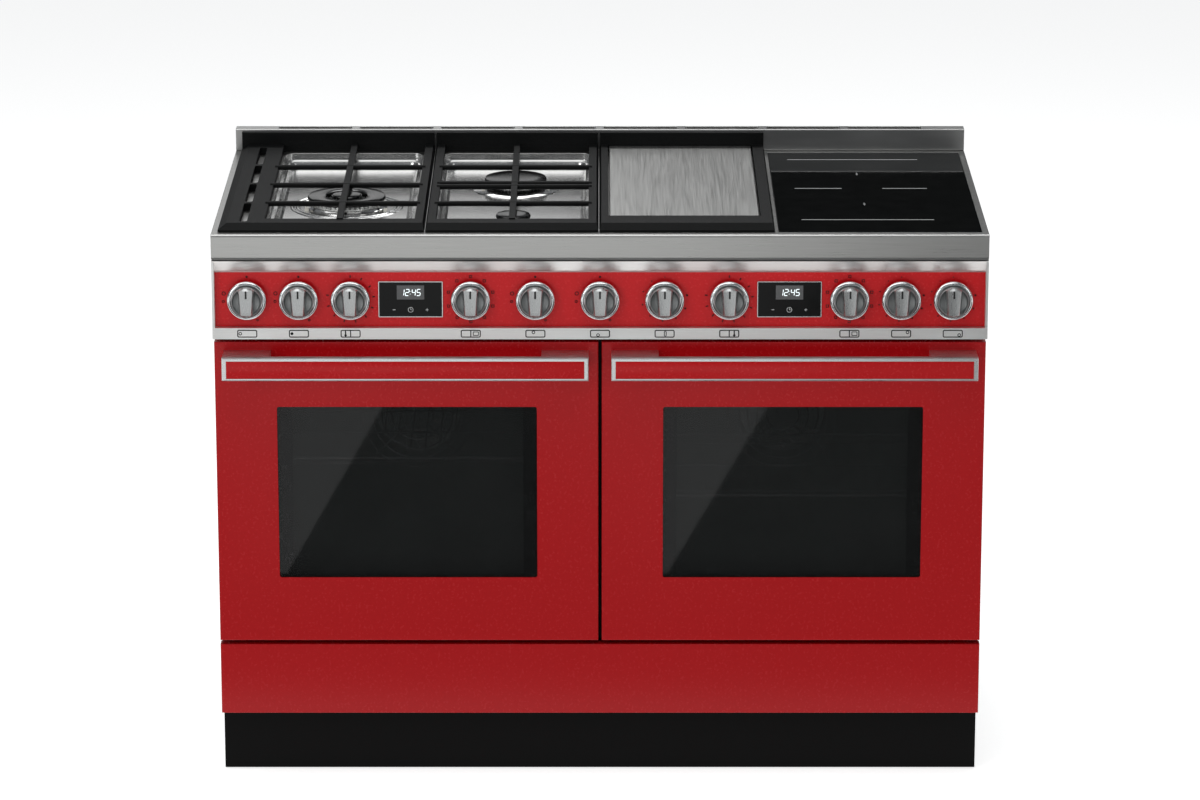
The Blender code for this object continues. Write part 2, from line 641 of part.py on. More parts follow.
def make_upstand():
    """The folded rear upstand, open below, with its row of vent slots along the top."""
    low = HOB_TOP_Z + GAP
    top = HOB_TOP_Z + UPSTAND_HEIGHT
    front = DEPTH - UPSTAND_DEPTH
    upstand = piece("rear_upstand", box((-HALF, HALF), (front, DEPTH), (low, top), SHEET, "X", 2),
                    STAINLESS)
    cut(upstand, box((-HALF + SHEET, HALF - SHEET), (front + SHEET, DEPTH - SHEET),
                     (low - THROUGH, top - SHEET)))
    pitch = (WIDTH - 2 * VENT_END) / VENT_COUNT
    middle = (front + DEPTH) / 2
    vents = []
    for index in range(VENT_COUNT):
        x = -HALF + VENT_END + index * pitch + VENT_BRIDGE / 2
        vents.append(box((x, x + pitch - VENT_BRIDGE),
                         (middle - VENT_WIDTH / 2, middle + VENT_WIDTH / 2),
                         (top - 2 * SHEET, top + THROUGH), VENT_RADIUS, "Z", 2))
    cut(upstand, *vents)


def cast_frame(name, x, opening_x, opening_setback, left_run=CAST_INNER_RUN):
    """A cast frame that sits on the worktop: sloped outer edges, one opening, a rear wall."""
    low = HOB_TOP_Z + GAP
    origin = (sum(x) / 2, y_at((MODULE_FRONT + MODULE_BACK) / 2), low)
    runs = (left_run, CAST_INNER_RUN, CAST_RUN, CAST_INNER_RUN)
    frame = piece(name, bevelled_slab(x, (MODULE_FRONT, MODULE_BACK), low, CAST_FOOT, CAST_RISE,
                                      runs), CAST_IRON, origin)
    cut(frame, box(opening_x, opening_setback, (low - THROUGH, low + THROUGH)))
    join(frame, box((x[0] + BITE, x[1] - BITE), (MODULE_BACK - CAST_REAR_WALL, MODULE_BACK - GAP),
                    (low + BITE, HOB_TOP_Z + CAST_REAR_HEIGHT)))
    return frame


def grate_bars(opening_x, opening_setback, cross_setbacks, finger_x):
    """Bars across an opening and one finger bar along it, overlapping the frame at their ends."""
    top = HOB_TOP_Z + GRATE_BAR_TOP
    z = (top - GRATE_BAR_HEIGHT, top)
    half = GRATE_BAR / 2
    crosses = [box((opening_x[0] - half, opening_x[1] + half), (setback - half, setback + half), z,
                   GRATE_BAR_RADIUS, "X", 1) for setback in cross_setbacks]
    finger = box((finger_x - half, finger_x + half),
                 (opening_setback[0] - half, opening_setback[1] + half),
                 (z[0] + FINGER_STEP, z[1] - FINGER_STEP))
    return crosses, finger


def make_pan_supports():
    """The two cast pan supports over the gas burners."""
    opening_setback = (MODULE_FRONT + FRONT_BAR, MODULE_BACK - CAST_REAR_WALL)
    left = cast_frame("pan_support_left", PAN_LEFT_X, LEFT_OPENING_X, opening_setback, CAST_RUN)
    crosses, finger = grate_bars(LEFT_OPENING_X, opening_setback,
                                 (FRONT_BURNER_SETBACK, WOK_SETBACK, REAR_BURNER_SETBACK), WOK_X)
    join(left, *crosses)
    join(left, finger)
    span = opening_setback[1] - MODULE_FRONT - 2 * SLOT_ENDS
    length = (span - (SLOT_COUNT - 1) * SLOT_BRIDGE) / SLOT_COUNT
    slots = []
    for index in range(SLOT_COUNT):
        start = MODULE_FRONT + SLOT_ENDS + index * (length + SLOT_BRIDGE)
        centre = PAN_LEFT_X[0] + SLOT_FROM_SIDE
        slots.append(box((centre - SLOT_WIDTH / 2, centre + SLOT_WIDTH / 2), (start, start + length),
                         (HOB_TOP_Z - THROUGH, HOB_TOP_Z + THROUGH), SLOT_WIDTH / 3, "Z", 2))
    cut(left, *slots)
    middle = cast_frame("pan_support_middle", PAN_MIDDLE_X, MIDDLE_OPENING_X, opening_setback)
    half_pair = DOUBLE_BAR_SPACING / 2
    crosses, finger = grate_bars(MIDDLE_OPENING_X, opening_setback,
                                 (FRONT_BURNER_SETBACK, WOK_SETBACK - half_pair,
                                  WOK_SETBACK + half_pair, REAR_BURNER_SETBACK), MIDDLE_X)
    join(middle, *crosses)
    join(middle, finger)


def make_griddle():
    """The griddle plate with its heated tub, and the cast frame laid round it."""
    x, setback = griddle_plate_ranges()
    opening_x = (x[0] - GRIDDLE_PLATE_GAP, x[1] + GRIDDLE_PLATE_GAP)
    opening_setback = (setback[0] - GRIDDLE_PLATE_GAP, setback[1] + GRIDDLE_PLATE_GAP)
    cast_frame("griddle_frame", GRIDDLE_X, opening_x, opening_setback)
    top = HOB_TOP_Z + GRIDDLE_PLATE_RISE
    plate = piece("griddle_plate", box(x, setback, (top - GRIDDLE_PLATE_THICKNESS, top),
                                      GRIDDLE_EDGE_RADIUS, "XY", 2),
                  STAINLESS)
    tub_x, tub_setback = griddle_tub_ranges()
    tub_low = HOB_TOP_Z - GRIDDLE_TUB_DEPTH
    join(plate, box(tub_x, tub_setback, (tub_low, top - GRIDDLE_PLATE_THICKNESS / 2)))
    cut(plate, box((tub_x[0] + HOB_SKIN, tub_x[1] - HOB_SKIN),
                   (tub_setback[0] + HOB_SKIN, tub_setback[1] - HOB_SKIN),
                   (tub_low - THROUGH, top - GRIDDLE_PLATE_THICKNESS)))


def burner_base(name, x, setback, radius, seat_radius):
    """A burner body: stub through the basin floor, flange on the floor, seat for the cap."""
    floor = BASIN_Z + GAP
    seat = BASIN_Z + BURNER_BASE_HEIGHT
    rim = BURNER_RIM
    stub_low = HOB_LOW_Z + STUB_END
    profile = ((0.0, seat), (seat_radius, seat), (seat_radius + rim, seat - rim),
               (radius, floor + rim), (radius, floor), (BURNER_STUB_RADIUS, floor),
               (BURNER_STUB_RADIUS, stub_low), (0.0, stub_low))
    return turned(name, profile, (x, y_at(setback), 0.0), STAINLESS)


def burner_cap(name, x, setback, radius):
    """A loose enamelled cap that lies on its burner."""
    low = BASIN_Z + BURNER_BASE_HEIGHT + GAP
    profile = ((0.0, CAP_THICKNESS),) + cap_edge(radius) + ((0.0, 0.0),)
    turned(name, profile, (x, y_at(setback), low), CAST_IRON)


def cap_edge(radius):
    """The crowned outer edge of a burner cap, from its top down to its underside."""
    top = CAP_THICKNESS
    lip = CAP_LIP
    return ((radius - 3 * lip, top), (radius - lip / 2, top - 2 * lip), (radius, top - 3 * lip),
            (radius, lip), (radius - lip, 0.0))


def make_burners():
    """Wok burner with two caps on the left, rear and front burners in the middle."""
    base = burner_base("wok_burner_base", WOK_X, WOK_SETBACK, WOK_CAP_RADIUS - BURNER_RIM,
                       WOK_CAP_RADIUS - 4 * BURNER_RIM)
    seat = BASIN_Z + BURNER_BASE_HEIGHT
    join(base, cylinder((WOK_X, WOK_SETBACK, seat - WOK_INNER_RAISE), WOK_INNER_RADIUS - BURNER_RIM,
                        2 * WOK_INNER_RAISE, sides=24))
    burner_base("rear_burner_base", MIDDLE_X, REAR_BURNER_SETBACK, REAR_CAP_RADIUS - BURNER_RIM,
                REAR_CAP_RADIUS - 3 * BURNER_RIM)
    burner_base("front_burner_base", MIDDLE_X, FRONT_BURNER_SETBACK, FRONT_BASE_RADIUS,
                FRONT_CAP_RADIUS - BURNER_RIM)
    ring = ((WOK_CAP_HOLE, CAP_THICKNESS),) + cap_edge(WOK_CAP_RADIUS)
    ring += ((WOK_CAP_HOLE, 0.0), (WOK_CAP_HOLE, CAP_THICKNESS))
    turned("wok_outer_cap", ring, (WOK_X, y_at(WOK_SETBACK), seat + GAP), CAST_IRON)
    half_thick = WOK_INNER_THICKNESS / 2
    inner = ((0.0, WOK_INNER_THICKNESS), (WOK_INNER_RADIUS - half_thick, WOK_INNER_THICKNESS),
             (WOK_INNER_RADIUS, half_thick), (WOK_INNER_RADIUS, 0.0), (0.0, 0.0))
    turned("wok_inner_cap", inner, (WOK_X, y_at(WOK_SETBACK), seat + WOK_INNER_RAISE + GAP), CAST_IRON)
    burner_cap("rear_burner_cap", MIDDLE_X, REAR_BURNER_SETBACK, REAR_CAP_RADIUS)
    burner_cap("front_burner_cap", MIDDLE_X, FRONT_BURNER_SETBACK, FRONT_CAP_RADIUS)


def make_fascia():
    """The stainless fascia frame, its red insert and the two clock displays."""
    wall = SHEET
    recess = FASCIA_RECESS
    outline = ((0.0, FASCIA_TOP_Z), (recess, INSERT_TOP_Z), (recess, INSERT_LOW_Z),
               (0.0, INSERT_LOW_Z), (0.0, FASCIA_LOW_Z), (FASCIA_DEPTH, FASCIA_LOW_Z),
               (FASCIA_DEPTH, FASCIA_LOW_Z + wall), (wall, FASCIA_LOW_Z + wall),
               (wall, INSERT_LOW_Z - wall), (recess + wall, INSERT_LOW_Z - wall),
               (recess + wall, INSERT_TOP_Z + wall / 2), (2 * wall, FASCIA_TOP_Z - wall),
               (FASCIA_DEPTH, FASCIA_TOP_Z - wall), (FASCIA_DEPTH, FASCIA_TOP_Z))
    fascia = profile_bar("control_fascia", outline, (-HALF, HALF), STAINLESS)
    cheeks = []
    for side in (-1, 1):
        x = sorted((side * (HALF - GAP / 3), side * (HALF - FASCIA_CHEEK)))
        cheeks.append(box(x, (BITE, FASCIA_DEPTH - BITE), (FASCIA_LOW_Z + GAP, FASCIA_TOP_Z - GAP)))
    join(fascia, *cheeks)
    insert_half = HALF - FASCIA_CHEEK - GAP
    insert = piece("fascia_insert", box((-insert_half, insert_half),
                                        (INSERT_SETBACK, INSERT_SETBACK + INSERT_THICKNESS),
                                        (INSERT_LOW_Z + GAP, INSERT_TOP_Z - INSERT_TOP_PLAY)),
                   RED_ENAMEL)
    body_x = DISPLAY_WIDTH / 2 - DISPLAY_BODY_INSET
    body_z = DISPLAY_HEIGHT / 2 - DISPLAY_BODY_INSET
    for item in (insert, fascia):
        openings = [cylinder((x, -THROUGH, KNOB_Z), SHAFT_HOLE_RADIUS, 2 * THROUGH, "Y", 16)
                    for x in KNOB_XS]
        for side in (-1, 1):
            x = side * DISPLAY_X
            openings.append(box((x - body_x - DISPLAY_PLAY, x + body_x + DISPLAY_PLAY),
                                (-THROUGH, THROUGH),
                                (KNOB_Z - body_z - DISPLAY_PLAY, KNOB_Z + body_z + DISPLAY_PLAY)))
        cut(item, *openings)
    front = INSERT_SETBACK - GAP - DISPLAY_PROUD
    for side, name in ((-1, "display_left"), (1, "display_right")):
        x = side * DISPLAY_X
        display = piece(name, box((x - DISPLAY_WIDTH / 2, x + DISPLAY_WIDTH / 2),
                                  (front, front + DISPLAY_PROUD),
                                  (KNOB_Z - DISPLAY_HEIGHT / 2, KNOB_Z + DISPLAY_HEIGHT / 2)),
                        BLACK_GLASS)
        join(display, box((x - body_x, x + body_x),
                          (front + DISPLAY_PROUD / 2, front + DISPLAY_BODY_DEPTH),
                          (KNOB_Z - body_z, KNOB_Z + body_z)))


def make_knobs():
    """Eleven knobs; each has its origin on its axis, and the gas ones turn on a spindle."""
    ring = KNOB_RING_DEPTH
    front = ring + KNOB_CAP_DEPTH
    shaft = KNOB_CLEAR + SHAFT_LENGTH
    for number, x in enumerate(KNOB_XS, start=1):
        gas = number in GAS_KNOBS
        head = ((0.0, front), (KNOB_CAP_RADIUS - KNOB_CHAMFER, front),
                (KNOB_CAP_RADIUS, front - KNOB_CHAMFER), (KNOB_CAP_RADIUS, ring),
                (KNOB_RADIUS - KNOB_CHAMFER, ring), (KNOB_RADIUS, ring - KNOB_CHAMFER),
                (KNOB_RADIUS, 0.0))
        if gas:
            tail = ((SHAFT_RADIUS + GAP, 0.0), (SHAFT_RADIUS + GAP, SPINDLE_REACH),
                    (0.0, SPINDLE_REACH))
        else:
            tail = ((SHAFT_RADIUS, 0.0), (SHAFT_RADIUS, -shaft), (0.0, -shaft))
        knob = turned(f"knob_{number:02d}_{KNOB_USES[number]}", head + tail,
                      (x, y_at(KNOB_BACK), KNOB_Z), CHROME, "Y", 20)
        half = KNOB_GRIP_WIDTH / 2
        reach = KNOB_CAP_RADIUS - BITE
        join(knob, box((x - half, x + half), (KNOB_FRONT - KNOB_GRIP_DEPTH, KNOB_FRONT + BITE),
                       (KNOB_Z - reach, KNOB_Z + reach), KNOB_GRIP_RADIUS, "Y", 2))
        if gas:
            end = VALVE_SETBACK + VALVE_DEPTH - VALVE_BORE_STOP - BITE - SPINDLE_TRAVEL
            start = KNOB_BACK - SPINDLE_REACH + GAP
            piece(f"spindle_{number:02d}_{KNOB_USES[number]}",
                  cylinder((x, start, KNOB_Z), SHAFT_RADIUS, end - start, "Y", 16), BRASS,
                  (x, y_at(KNOB_BACK), KNOB_Z))


def make_gas_rail():
    """The gas rail along the front with one valve body behind each gas knob."""
    gas_xs = [KNOB_XS[number - 1] for number in GAS_KNOBS]
    rail_setback = VALVE_SETBACK + VALVE_DEPTH - RAIL_RADIUS
    start = gas_xs[0] - RAIL_END
    rail = piece("gas_manifold", cylinder((start, rail_setback, KNOB_Z - RAIL_DROP), RAIL_RADIUS,
                                          gas_xs[-1] - start + RAIL_END, "X", 20), BRASS)
    valve_setback = (VALVE_SETBACK, VALVE_SETBACK + VALVE_DEPTH - RAIL_RADIUS / 2)
    join(rail, *[box((x - VALVE_HALF, x + VALVE_HALF), valve_setback,
                     (KNOB_Z - VALVE_HALF - RAIL_DROP, KNOB_Z + VALVE_HALF)) for x in gas_xs])
    bore_end = VALVE_SETBACK + VALVE_DEPTH - VALVE_BORE_STOP
    cut(rail, *[cylinder((x, VALVE_SETBACK - THROUGH, KNOB_Z), SHAFT_RADIUS + SHAFT_PLAY,
                         bore_end - VALVE_SETBACK + THROUGH, "Y", 16) for x in gas_xs])


def make_door(side, name):
    """A drop-down door: folded enamelled panel, outer glass, inner door and bar handle."""
    centre = side * DOOR_CENTRE
    half = DOOR_WIDTH / 2
    hinge = (centre, y_at(HINGE_SETBACK), HINGE_Z)
    window_x = (centre - half + WINDOW_BORDER_SIDE, centre + half - WINDOW_BORDER_SIDE)
    window_z = (DOOR_LOW_Z + WINDOW_BORDER_BOTTOM, DOOR_TOP_Z - WINDOW_BORDER_TOP)
    panel = piece(f"door_panel_{name}", box((centre - half, centre + half), (0.0, DOOR_PANEL_DEPTH),
                                            (DOOR_LOW_Z, DOOR_TOP_Z), DOOR_EDGE_RADIUS, "XZ", 2),
                  RED_ENAMEL, hinge)
    cut(panel, box((centre - half + SHEET, centre + half - SHEET), (SHEET, DOOR_PANEL_DEPTH + THROUGH),
                   (DOOR_LOW_Z + SHEET, DOOR_TOP_Z - SHEET)))
    notch_half = LUG_WIDTH / 2 + LUG_PLAY
    notches = [box((lug_x(side, edge) - notch_half, lug_x(side, edge) + notch_half),
                   (2 * SHEET, DOOR_PANEL_DEPTH + THROUGH), (DOOR_LOW_Z - THROUGH, DOOR_LOW_Z + 2 * SHEET))
               for edge in (-1, 1)]
    cut(panel, box(window_x, (-THROUGH, THROUGH), window_z, WINDOW_CORNER, "Y", 2), *notches)
    glass_front = SHEET + GAP
    piece(f"door_glass_{name}",
          box((window_x[0] - GLASS_OVERLAP, window_x[1] + GLASS_OVERLAP),
              (glass_front, glass_front + GLASS_THICKNESS),
              (window_z[0] - GLASS_OVERLAP, window_z[1] + GLASS_OVERLAP)), BLACK_GLASS, hinge)
    inner_half = half - INNER_DOOR_INSET
    inner_front = DOOR_PANEL_DEPTH + GAP
    inner_back = inner_front + INNER_DOOR_DEPTH
    inner_z = (HINGE_Z, DOOR_TOP_Z - INNER_DOOR_TOP_INSET)
    inner = piece(f"inner_door_{name}", box((centre - inner_half, centre + inner_half),
                                            (inner_front, inner_back), inner_z,
                                            INNER_DOOR_CORNER, "Y", 2), GREY_ENAMEL, hinge)
    cut(inner, box((centre - inner_half + SHEET, centre + inner_half - SHEET),
                   (inner_front - THROUGH, inner_back - SHEET), (inner_z[0] + SHEET, inner_z[1] - SHEET),
                   INNER_DOOR_CORNER - SHEET, "Y", 2))
    hole_x = (centre - inner_half + INNER_WINDOW_BORDER, centre + inner_half - INNER_WINDOW_BORDER)
    hole_z = (inner_z[0] + INNER_WINDOW_BORDER, inner_z[1] - INNER_WINDOW_BORDER)
    join(inner, box((hole_x[0] - SHEET, hole_x[1] + SHEET), (inner_front + BITE, inner_back - SHEET / 2),
                    (hole_z[0] - SHEET, hole_z[1] + SHEET), WINDOW_CORNER + SHEET, "Y", 2))
    cut(inner, box(hole_x, (inner_front - THROUGH, inner_back + THROUGH), hole_z, WINDOW_CORNER, "Y", 2))
    make_handle(centre, half, name, hinge)


def make_handle(centre, half, name, hinge):
    """A flat bar handle on two feet, its front recessed for a coloured inlay."""
    z = (DOOR_TOP_Z - HANDLE_TOP_INSET - HANDLE_HEIGHT, DOOR_TOP_Z - HANDLE_TOP_INSET)
    x = (centre - half + HANDLE_END_INSET, centre + half - HANDLE_END_INSET)
    back = HANDLE_BAR_DEPTH - HANDLE_REACH
    handle = piece(f"handle_{name}", box(x, (-HANDLE_REACH, back), z, HANDLE_EDGE_RADIUS, "XZ", 2),
                   STAINLESS, hinge)
    foot_z = (z[1] - HANDLE_FOOT_HEIGHT, z[1] - GAP)
    foot_setback = (back - BITE, -GAP)
    join(handle, box((x[0] + GAP, x[0] + HANDLE_FOOT_LENGTH), foot_setback, foot_z),
         box((x[1] - HANDLE_FOOT_LENGTH, x[1] - GAP), foot_setback, foot_z))
    cut(handle, box((x[0] + INLAY_BORDER_END, x[1] - INLAY_BORDER_END),
                    (-HANDLE_REACH - THROUGH, -HANDLE_REACH + INLAY_DEPTH),
                    (z[0] + INLAY_BORDER_BOTTOM, z[1] - INLAY_BORDER_TOP)))


def make_drawer():
    """The storage drawer: folded front panel and an open-topped box between its runners."""
    origin = (0.0, FRONT_Y, PAN_TOP_Z)
    front = piece("drawer_front", box((-BODY_HALF, BODY_HALF), (0.0, DRAWER_FRONT_DEPTH),
                                      (DRAWER_LOW_Z, DRAWER_TOP_Z), DOOR_EDGE_RADIUS, "XZ", 2),
                  RED_ENAMEL, origin)
    cut(front, box((-BODY_HALF + SHEET, BODY_HALF - SHEET), (SHEET, DRAWER_FRONT_DEPTH + THROUGH),
                   (DRAWER_LOW_Z + SHEET, DRAWER_TOP_Z - SHEET)))
    box_half = BODY_HALF - DRAWER_SIDE_ROOM
    low = PAN_TOP_Z + DRAWER_BOX_FLOAT
    tray_front = SHEET + GAP
    tray_back = DEPTH - DRAWER_BACK_ROOM
    tray = piece("drawer_box", box((-box_half, box_half), (tray_front, tray_back),
                                   (low, low + DRAWER_BOX_HEIGHT)), GALVANISED, origin)
    cut(tray, box((-box_half + SHEET, box_half - SHEET), (tray_front + SHEET, tray_back - SHEET),
                  (low + SHEET, low + DRAWER_BOX_HEIGHT + THROUGH)))


def shelf_z(level):
    """The underside of a rack that rests on a shelf level of the cavity."""
    return CAVITY_LOW_Z + (CAVITY_TOP_Z - CAVITY_LOW_Z) * level / (SHELF_LEVELS + 1)


def make_oven(side, name, level):
    """An enamelled oven liner with a shelf ledge, a rack on it and a fan at the back."""
    centre = side * DOOR_CENTRE
    back = OVEN_FRONT + OVEN_DEPTH
    wall = OVEN_WALL
    liner = piece(f"oven_liner_{name}",
                  box((centre - CAVITY_HALF - wall, centre + CAVITY_HALF + wall), (OVEN_FRONT, back),
                      (CAVITY_LOW_Z - wall, CAVITY_TOP_Z + wall)), GREY_ENAMEL)
    cut(liner, box((centre - CAVITY_HALF, centre + CAVITY_HALF), (OVEN_FRONT - THROUGH, back - wall),
                   (CAVITY_LOW_Z, CAVITY_TOP_Z)))
    rest = shelf_z(level)
    ledges = []
    for edge in (-1, 1):
        x = sorted((centre + edge * (CAVITY_HALF + wall / 2),
                    centre + edge * (CAVITY_HALF - LEDGE_WIDTH)))
        ledges.append(box(x, (OVEN_FRONT + LEDGE_FRONT, OVEN_FRONT + RACK_FRONT + RACK_DEPTH),
                          (rest - LEDGE_HEIGHT - GAP, rest - GAP)))
    join(liner, *ledges)
    middle_z = (CAVITY_LOW_Z + CAVITY_TOP_Z) / 2
    cut(liner, cylinder((centre, back - THROUGH, middle_z), FAN_SHAFT_RADIUS + FAN_SHAFT_PLAY,
                        2 * THROUGH, "Y", 20))
    make_rack(centre, name, rest)
    make_fan(centre, name, back - wall - FAN_WALL_GAP, middle_z)


def make_rack(centre, name, rest):
    """An oven rack: a frame with slots between its rods."""
    half = CAVITY_HALF - RACK_SIDE_PLAY
    front = OVEN_FRONT + RACK_FRONT
    plate = box((centre - half, centre + half), (front, front + RACK_DEPTH),
                (rest, rest + RACK_THICKNESS))
    rack = piece(f"oven_rack_{name}", plate, CHROME, (centre, y_at(front), rest))
    pitch = (2 * half - RACK_ROD) / RACK_SLOTS
    slots = []
    for index in range(RACK_SLOTS):
        x = centre - half + RACK_ROD + index * pitch
        slots.append(box((x, x + pitch - RACK_ROD), (front + RACK_ROD, front + RACK_DEPTH - RACK_ROD),
                         (rest - THROUGH, rest + RACK_THICKNESS + THROUGH)))
    cut(rack, *slots)


def make_fan(centre, name, back, middle_z):
    """The convection fan: back plate, ring of blades and a shaft through the liner's wall."""
    origin = (centre, y_at(back), middle_z)
    plate_front = back - FAN_PLATE
    fan = piece(f"oven_fan_{name}", cylinder((centre, plate_front, middle_z), FAN_RADIUS, FAN_PLATE, "Y"),
                GALVANISED, origin)
    join(fan, cylinder((centre, plate_front - FAN_NOSE, middle_z), FAN_SHAFT_RADIUS,
                       FAN_NOSE + FAN_PLATE + FAN_SHAFT_LENGTH, "Y", 16))
    blades = []
    for index in range(FAN_BLADES):
        blade = box((FAN_RADIUS * FAN_BLADE_REACH[0], FAN_RADIUS * FAN_BLADE_REACH[1]),
                    (-FAN_DEPTH, FAN_PLATE / 2), (-FAN_BLADE_HALF, FAN_BLADE_HALF))
        blade.transform(Matrix.Translation((0.0, -FRONT_Y, 0.0)))
        blade.transform(Matrix.Rotation(math.tau * index / FAN_BLADES, 4, "Y"))
        blade.transform(Matrix.Translation((centre, y_at(plate_front), middle_z)))
        blades.append(blade)
    join(fan, *blades)


make_casing()
make_plinth_and_feet()
make_front_frame()
make_hob_top()
make_upstand()
make_pan_supports()
make_griddle()
make_burners()
make_fascia()
make_knobs()
make_gas_rail()
make_drawer()
for oven_side, oven_name, rack_level in ((-1, "left", LEFT_RACK_LEVEL), (1, "right", RIGHT_RACK_LEVEL)):
    make_door(oven_side, oven_name)
    make_oven(oven_side, oven_name, rack_level)
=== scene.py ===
import json
import math

import bmesh
import bpy
from mathutils import Matrix, Vector

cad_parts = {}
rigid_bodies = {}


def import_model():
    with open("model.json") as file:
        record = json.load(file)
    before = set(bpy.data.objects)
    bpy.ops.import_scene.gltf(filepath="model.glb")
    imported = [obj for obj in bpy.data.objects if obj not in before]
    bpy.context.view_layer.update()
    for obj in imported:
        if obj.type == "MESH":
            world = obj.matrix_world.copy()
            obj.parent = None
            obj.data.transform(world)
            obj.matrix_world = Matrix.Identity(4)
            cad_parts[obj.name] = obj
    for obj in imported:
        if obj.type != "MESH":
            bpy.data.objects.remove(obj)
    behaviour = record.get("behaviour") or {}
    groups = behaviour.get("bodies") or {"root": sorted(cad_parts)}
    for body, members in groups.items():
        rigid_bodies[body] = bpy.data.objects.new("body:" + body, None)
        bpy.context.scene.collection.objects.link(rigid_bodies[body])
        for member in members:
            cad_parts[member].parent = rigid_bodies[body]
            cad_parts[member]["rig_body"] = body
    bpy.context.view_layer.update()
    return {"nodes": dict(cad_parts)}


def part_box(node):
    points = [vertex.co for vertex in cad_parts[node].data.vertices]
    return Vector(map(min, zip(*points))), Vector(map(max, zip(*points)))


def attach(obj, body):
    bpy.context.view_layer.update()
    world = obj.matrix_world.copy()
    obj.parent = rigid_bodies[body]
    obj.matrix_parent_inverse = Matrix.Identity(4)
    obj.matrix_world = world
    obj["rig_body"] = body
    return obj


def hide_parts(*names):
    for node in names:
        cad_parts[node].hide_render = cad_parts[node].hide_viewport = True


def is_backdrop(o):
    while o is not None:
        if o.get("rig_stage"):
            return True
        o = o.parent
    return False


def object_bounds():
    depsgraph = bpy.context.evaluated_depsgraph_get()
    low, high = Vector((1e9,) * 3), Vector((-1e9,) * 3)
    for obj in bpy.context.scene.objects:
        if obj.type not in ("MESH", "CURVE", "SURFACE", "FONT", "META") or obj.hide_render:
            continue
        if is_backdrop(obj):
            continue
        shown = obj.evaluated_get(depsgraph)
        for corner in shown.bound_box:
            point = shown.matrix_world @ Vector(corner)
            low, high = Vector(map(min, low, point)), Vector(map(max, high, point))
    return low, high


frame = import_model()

scene = bpy.context.scene
scene.view_settings.view_transform = "Standard"

# Camera. A long lens set well back and looking slightly down, so that the front shows almost
# square on and the hob is seen as a shallow band above it.
CAMERA_PITCH = 15.87      # degrees below the horizon
camera = bpy.data.objects.new("camera", bpy.data.cameras.new("camera"))
camera.data.sensor_width = 36.0
camera.data.lens = 151.34
camera.data.clip_end = 80.0
camera.location = (0.0, -7.8137, 2.769)
camera.rotation_euler = (math.radians(90 - CAMERA_PITCH), 0.0, 0.0)
scene.collection.objects.link(camera)
scene.camera = camera


# Studio. A pale painted floor that runs far back, large soft lamps, and lengths of black cloth and
# grey paper that shape what the polished faces mirror.
def linear(code):
    """Turns an sRGB hex colour into the linear colour that a shader takes."""
    parts = [int(code[i:i + 2], 16) / 255 for i in (1, 3, 5)]
    return [p / 12.92 if p <= 0.04045 else ((p + 0.055) / 1.055) ** 2.4 for p in parts] + [1.0]


def add_node(tree, kind, settings, sockets):
    """Adds one node with its settings, and sets or links its sockets."""
    node = tree.nodes.new("ShaderNode" + kind)
    for name, value in settings.items():
        setattr(node, name, value)
    for name, value in sockets.items():
        if isinstance(value, bpy.types.NodeSocket):
            tree.links.new(value, node.inputs[name])
        else:
            node.inputs[name].default_value = value
    return node


def surface(name, dark, light, values, grain, pull=(1, 1, 1), rough=None, bump=0.0, detail=3.0):
    """A finish with one pattern, whose grain is in millimetres and is pulled out along an axis.

    The pattern runs from the dark colour to the light one, and from the first roughness to the
    second. Bump is its depth in millimetres.
    """
    material = bpy.data.materials.new(name)
    material.use_nodes = True
    tree = material.node_tree
    shader = tree.nodes["Principled BSDF"]
    for socket, value in values.items():
        shader.inputs[socket].default_value = value
    place = add_node(tree, "TexCoord", {}, {}).outputs["Object"]
    squeeze = [1 / amount for amount in pull]
    place = add_node(tree, "Mapping", {}, {"Vector": place, "Scale": squeeze}).outputs[0]
    noise = add_node(tree, "TexNoise", {}, {"Vector": place, "Scale": 1000 / grain, "Detail": detail})
    share = add_node(tree, "MapRange", {}, {0: noise.outputs[0], 1: 0.3, 2: 0.7}).outputs[0]
    colour = add_node(tree, "Mix", {"data_type": "RGBA"},
                      {0: share, 6: linear(dark), 7: linear(light)})
    tree.links.new(colour.outputs[2], shader.inputs["Base Color"])
    if rough:
        gloss = add_node(tree, "MapRange", {}, {0: share, 3: rough[0], 4: rough[1]})
        tree.links.new(gloss.outputs[0], shader.inputs["Roughness"])
    if bump:
        relief = add_node(tree, "Bump", {}, {"Height": share, "Distance": bump / 1000})
        tree.links.new(relief.outputs[0], shader.inputs["Normal"])
    return material


def add_stage(name, corners, material):
    """A flat card of four corners that isn't part of the range."""
    mesh = bpy.data.meshes.new(name)
    mesh.from_pydata(corners, [], [range(len(corners))])
    mesh.materials.append(material)
    card = bpy.data.objects.new(name, mesh)
    scene.collection.objects.link(card)
    card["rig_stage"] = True
    return card


def add_unseen(name, corners, material):
    """A card kept out of the camera's sight and the lamps' light: only polished faces mirror it."""
    card = add_stage(name, corners, material)
    card.visible_camera = False
    card.visible_shadow = False
    card.visible_diffuse = False


# Matt floor paint: even, with a faint roller texture about 8 mm across.
floor_paint = surface("matt_floor_paint", "#F4F4F3", "#FAFAF9",
                      {"Roughness": 0.9, "Specular IOR Level": 0.1, "Emission Strength": 0.72,
                       "Emission Color": linear("#FFFFFF")}, 8.0, bump=0.2)
add_stage("studio_floor", [(-25, -14, 0), (25, -14, 0), (25, 40, 0), (-25, 40, 0)], floor_paint)

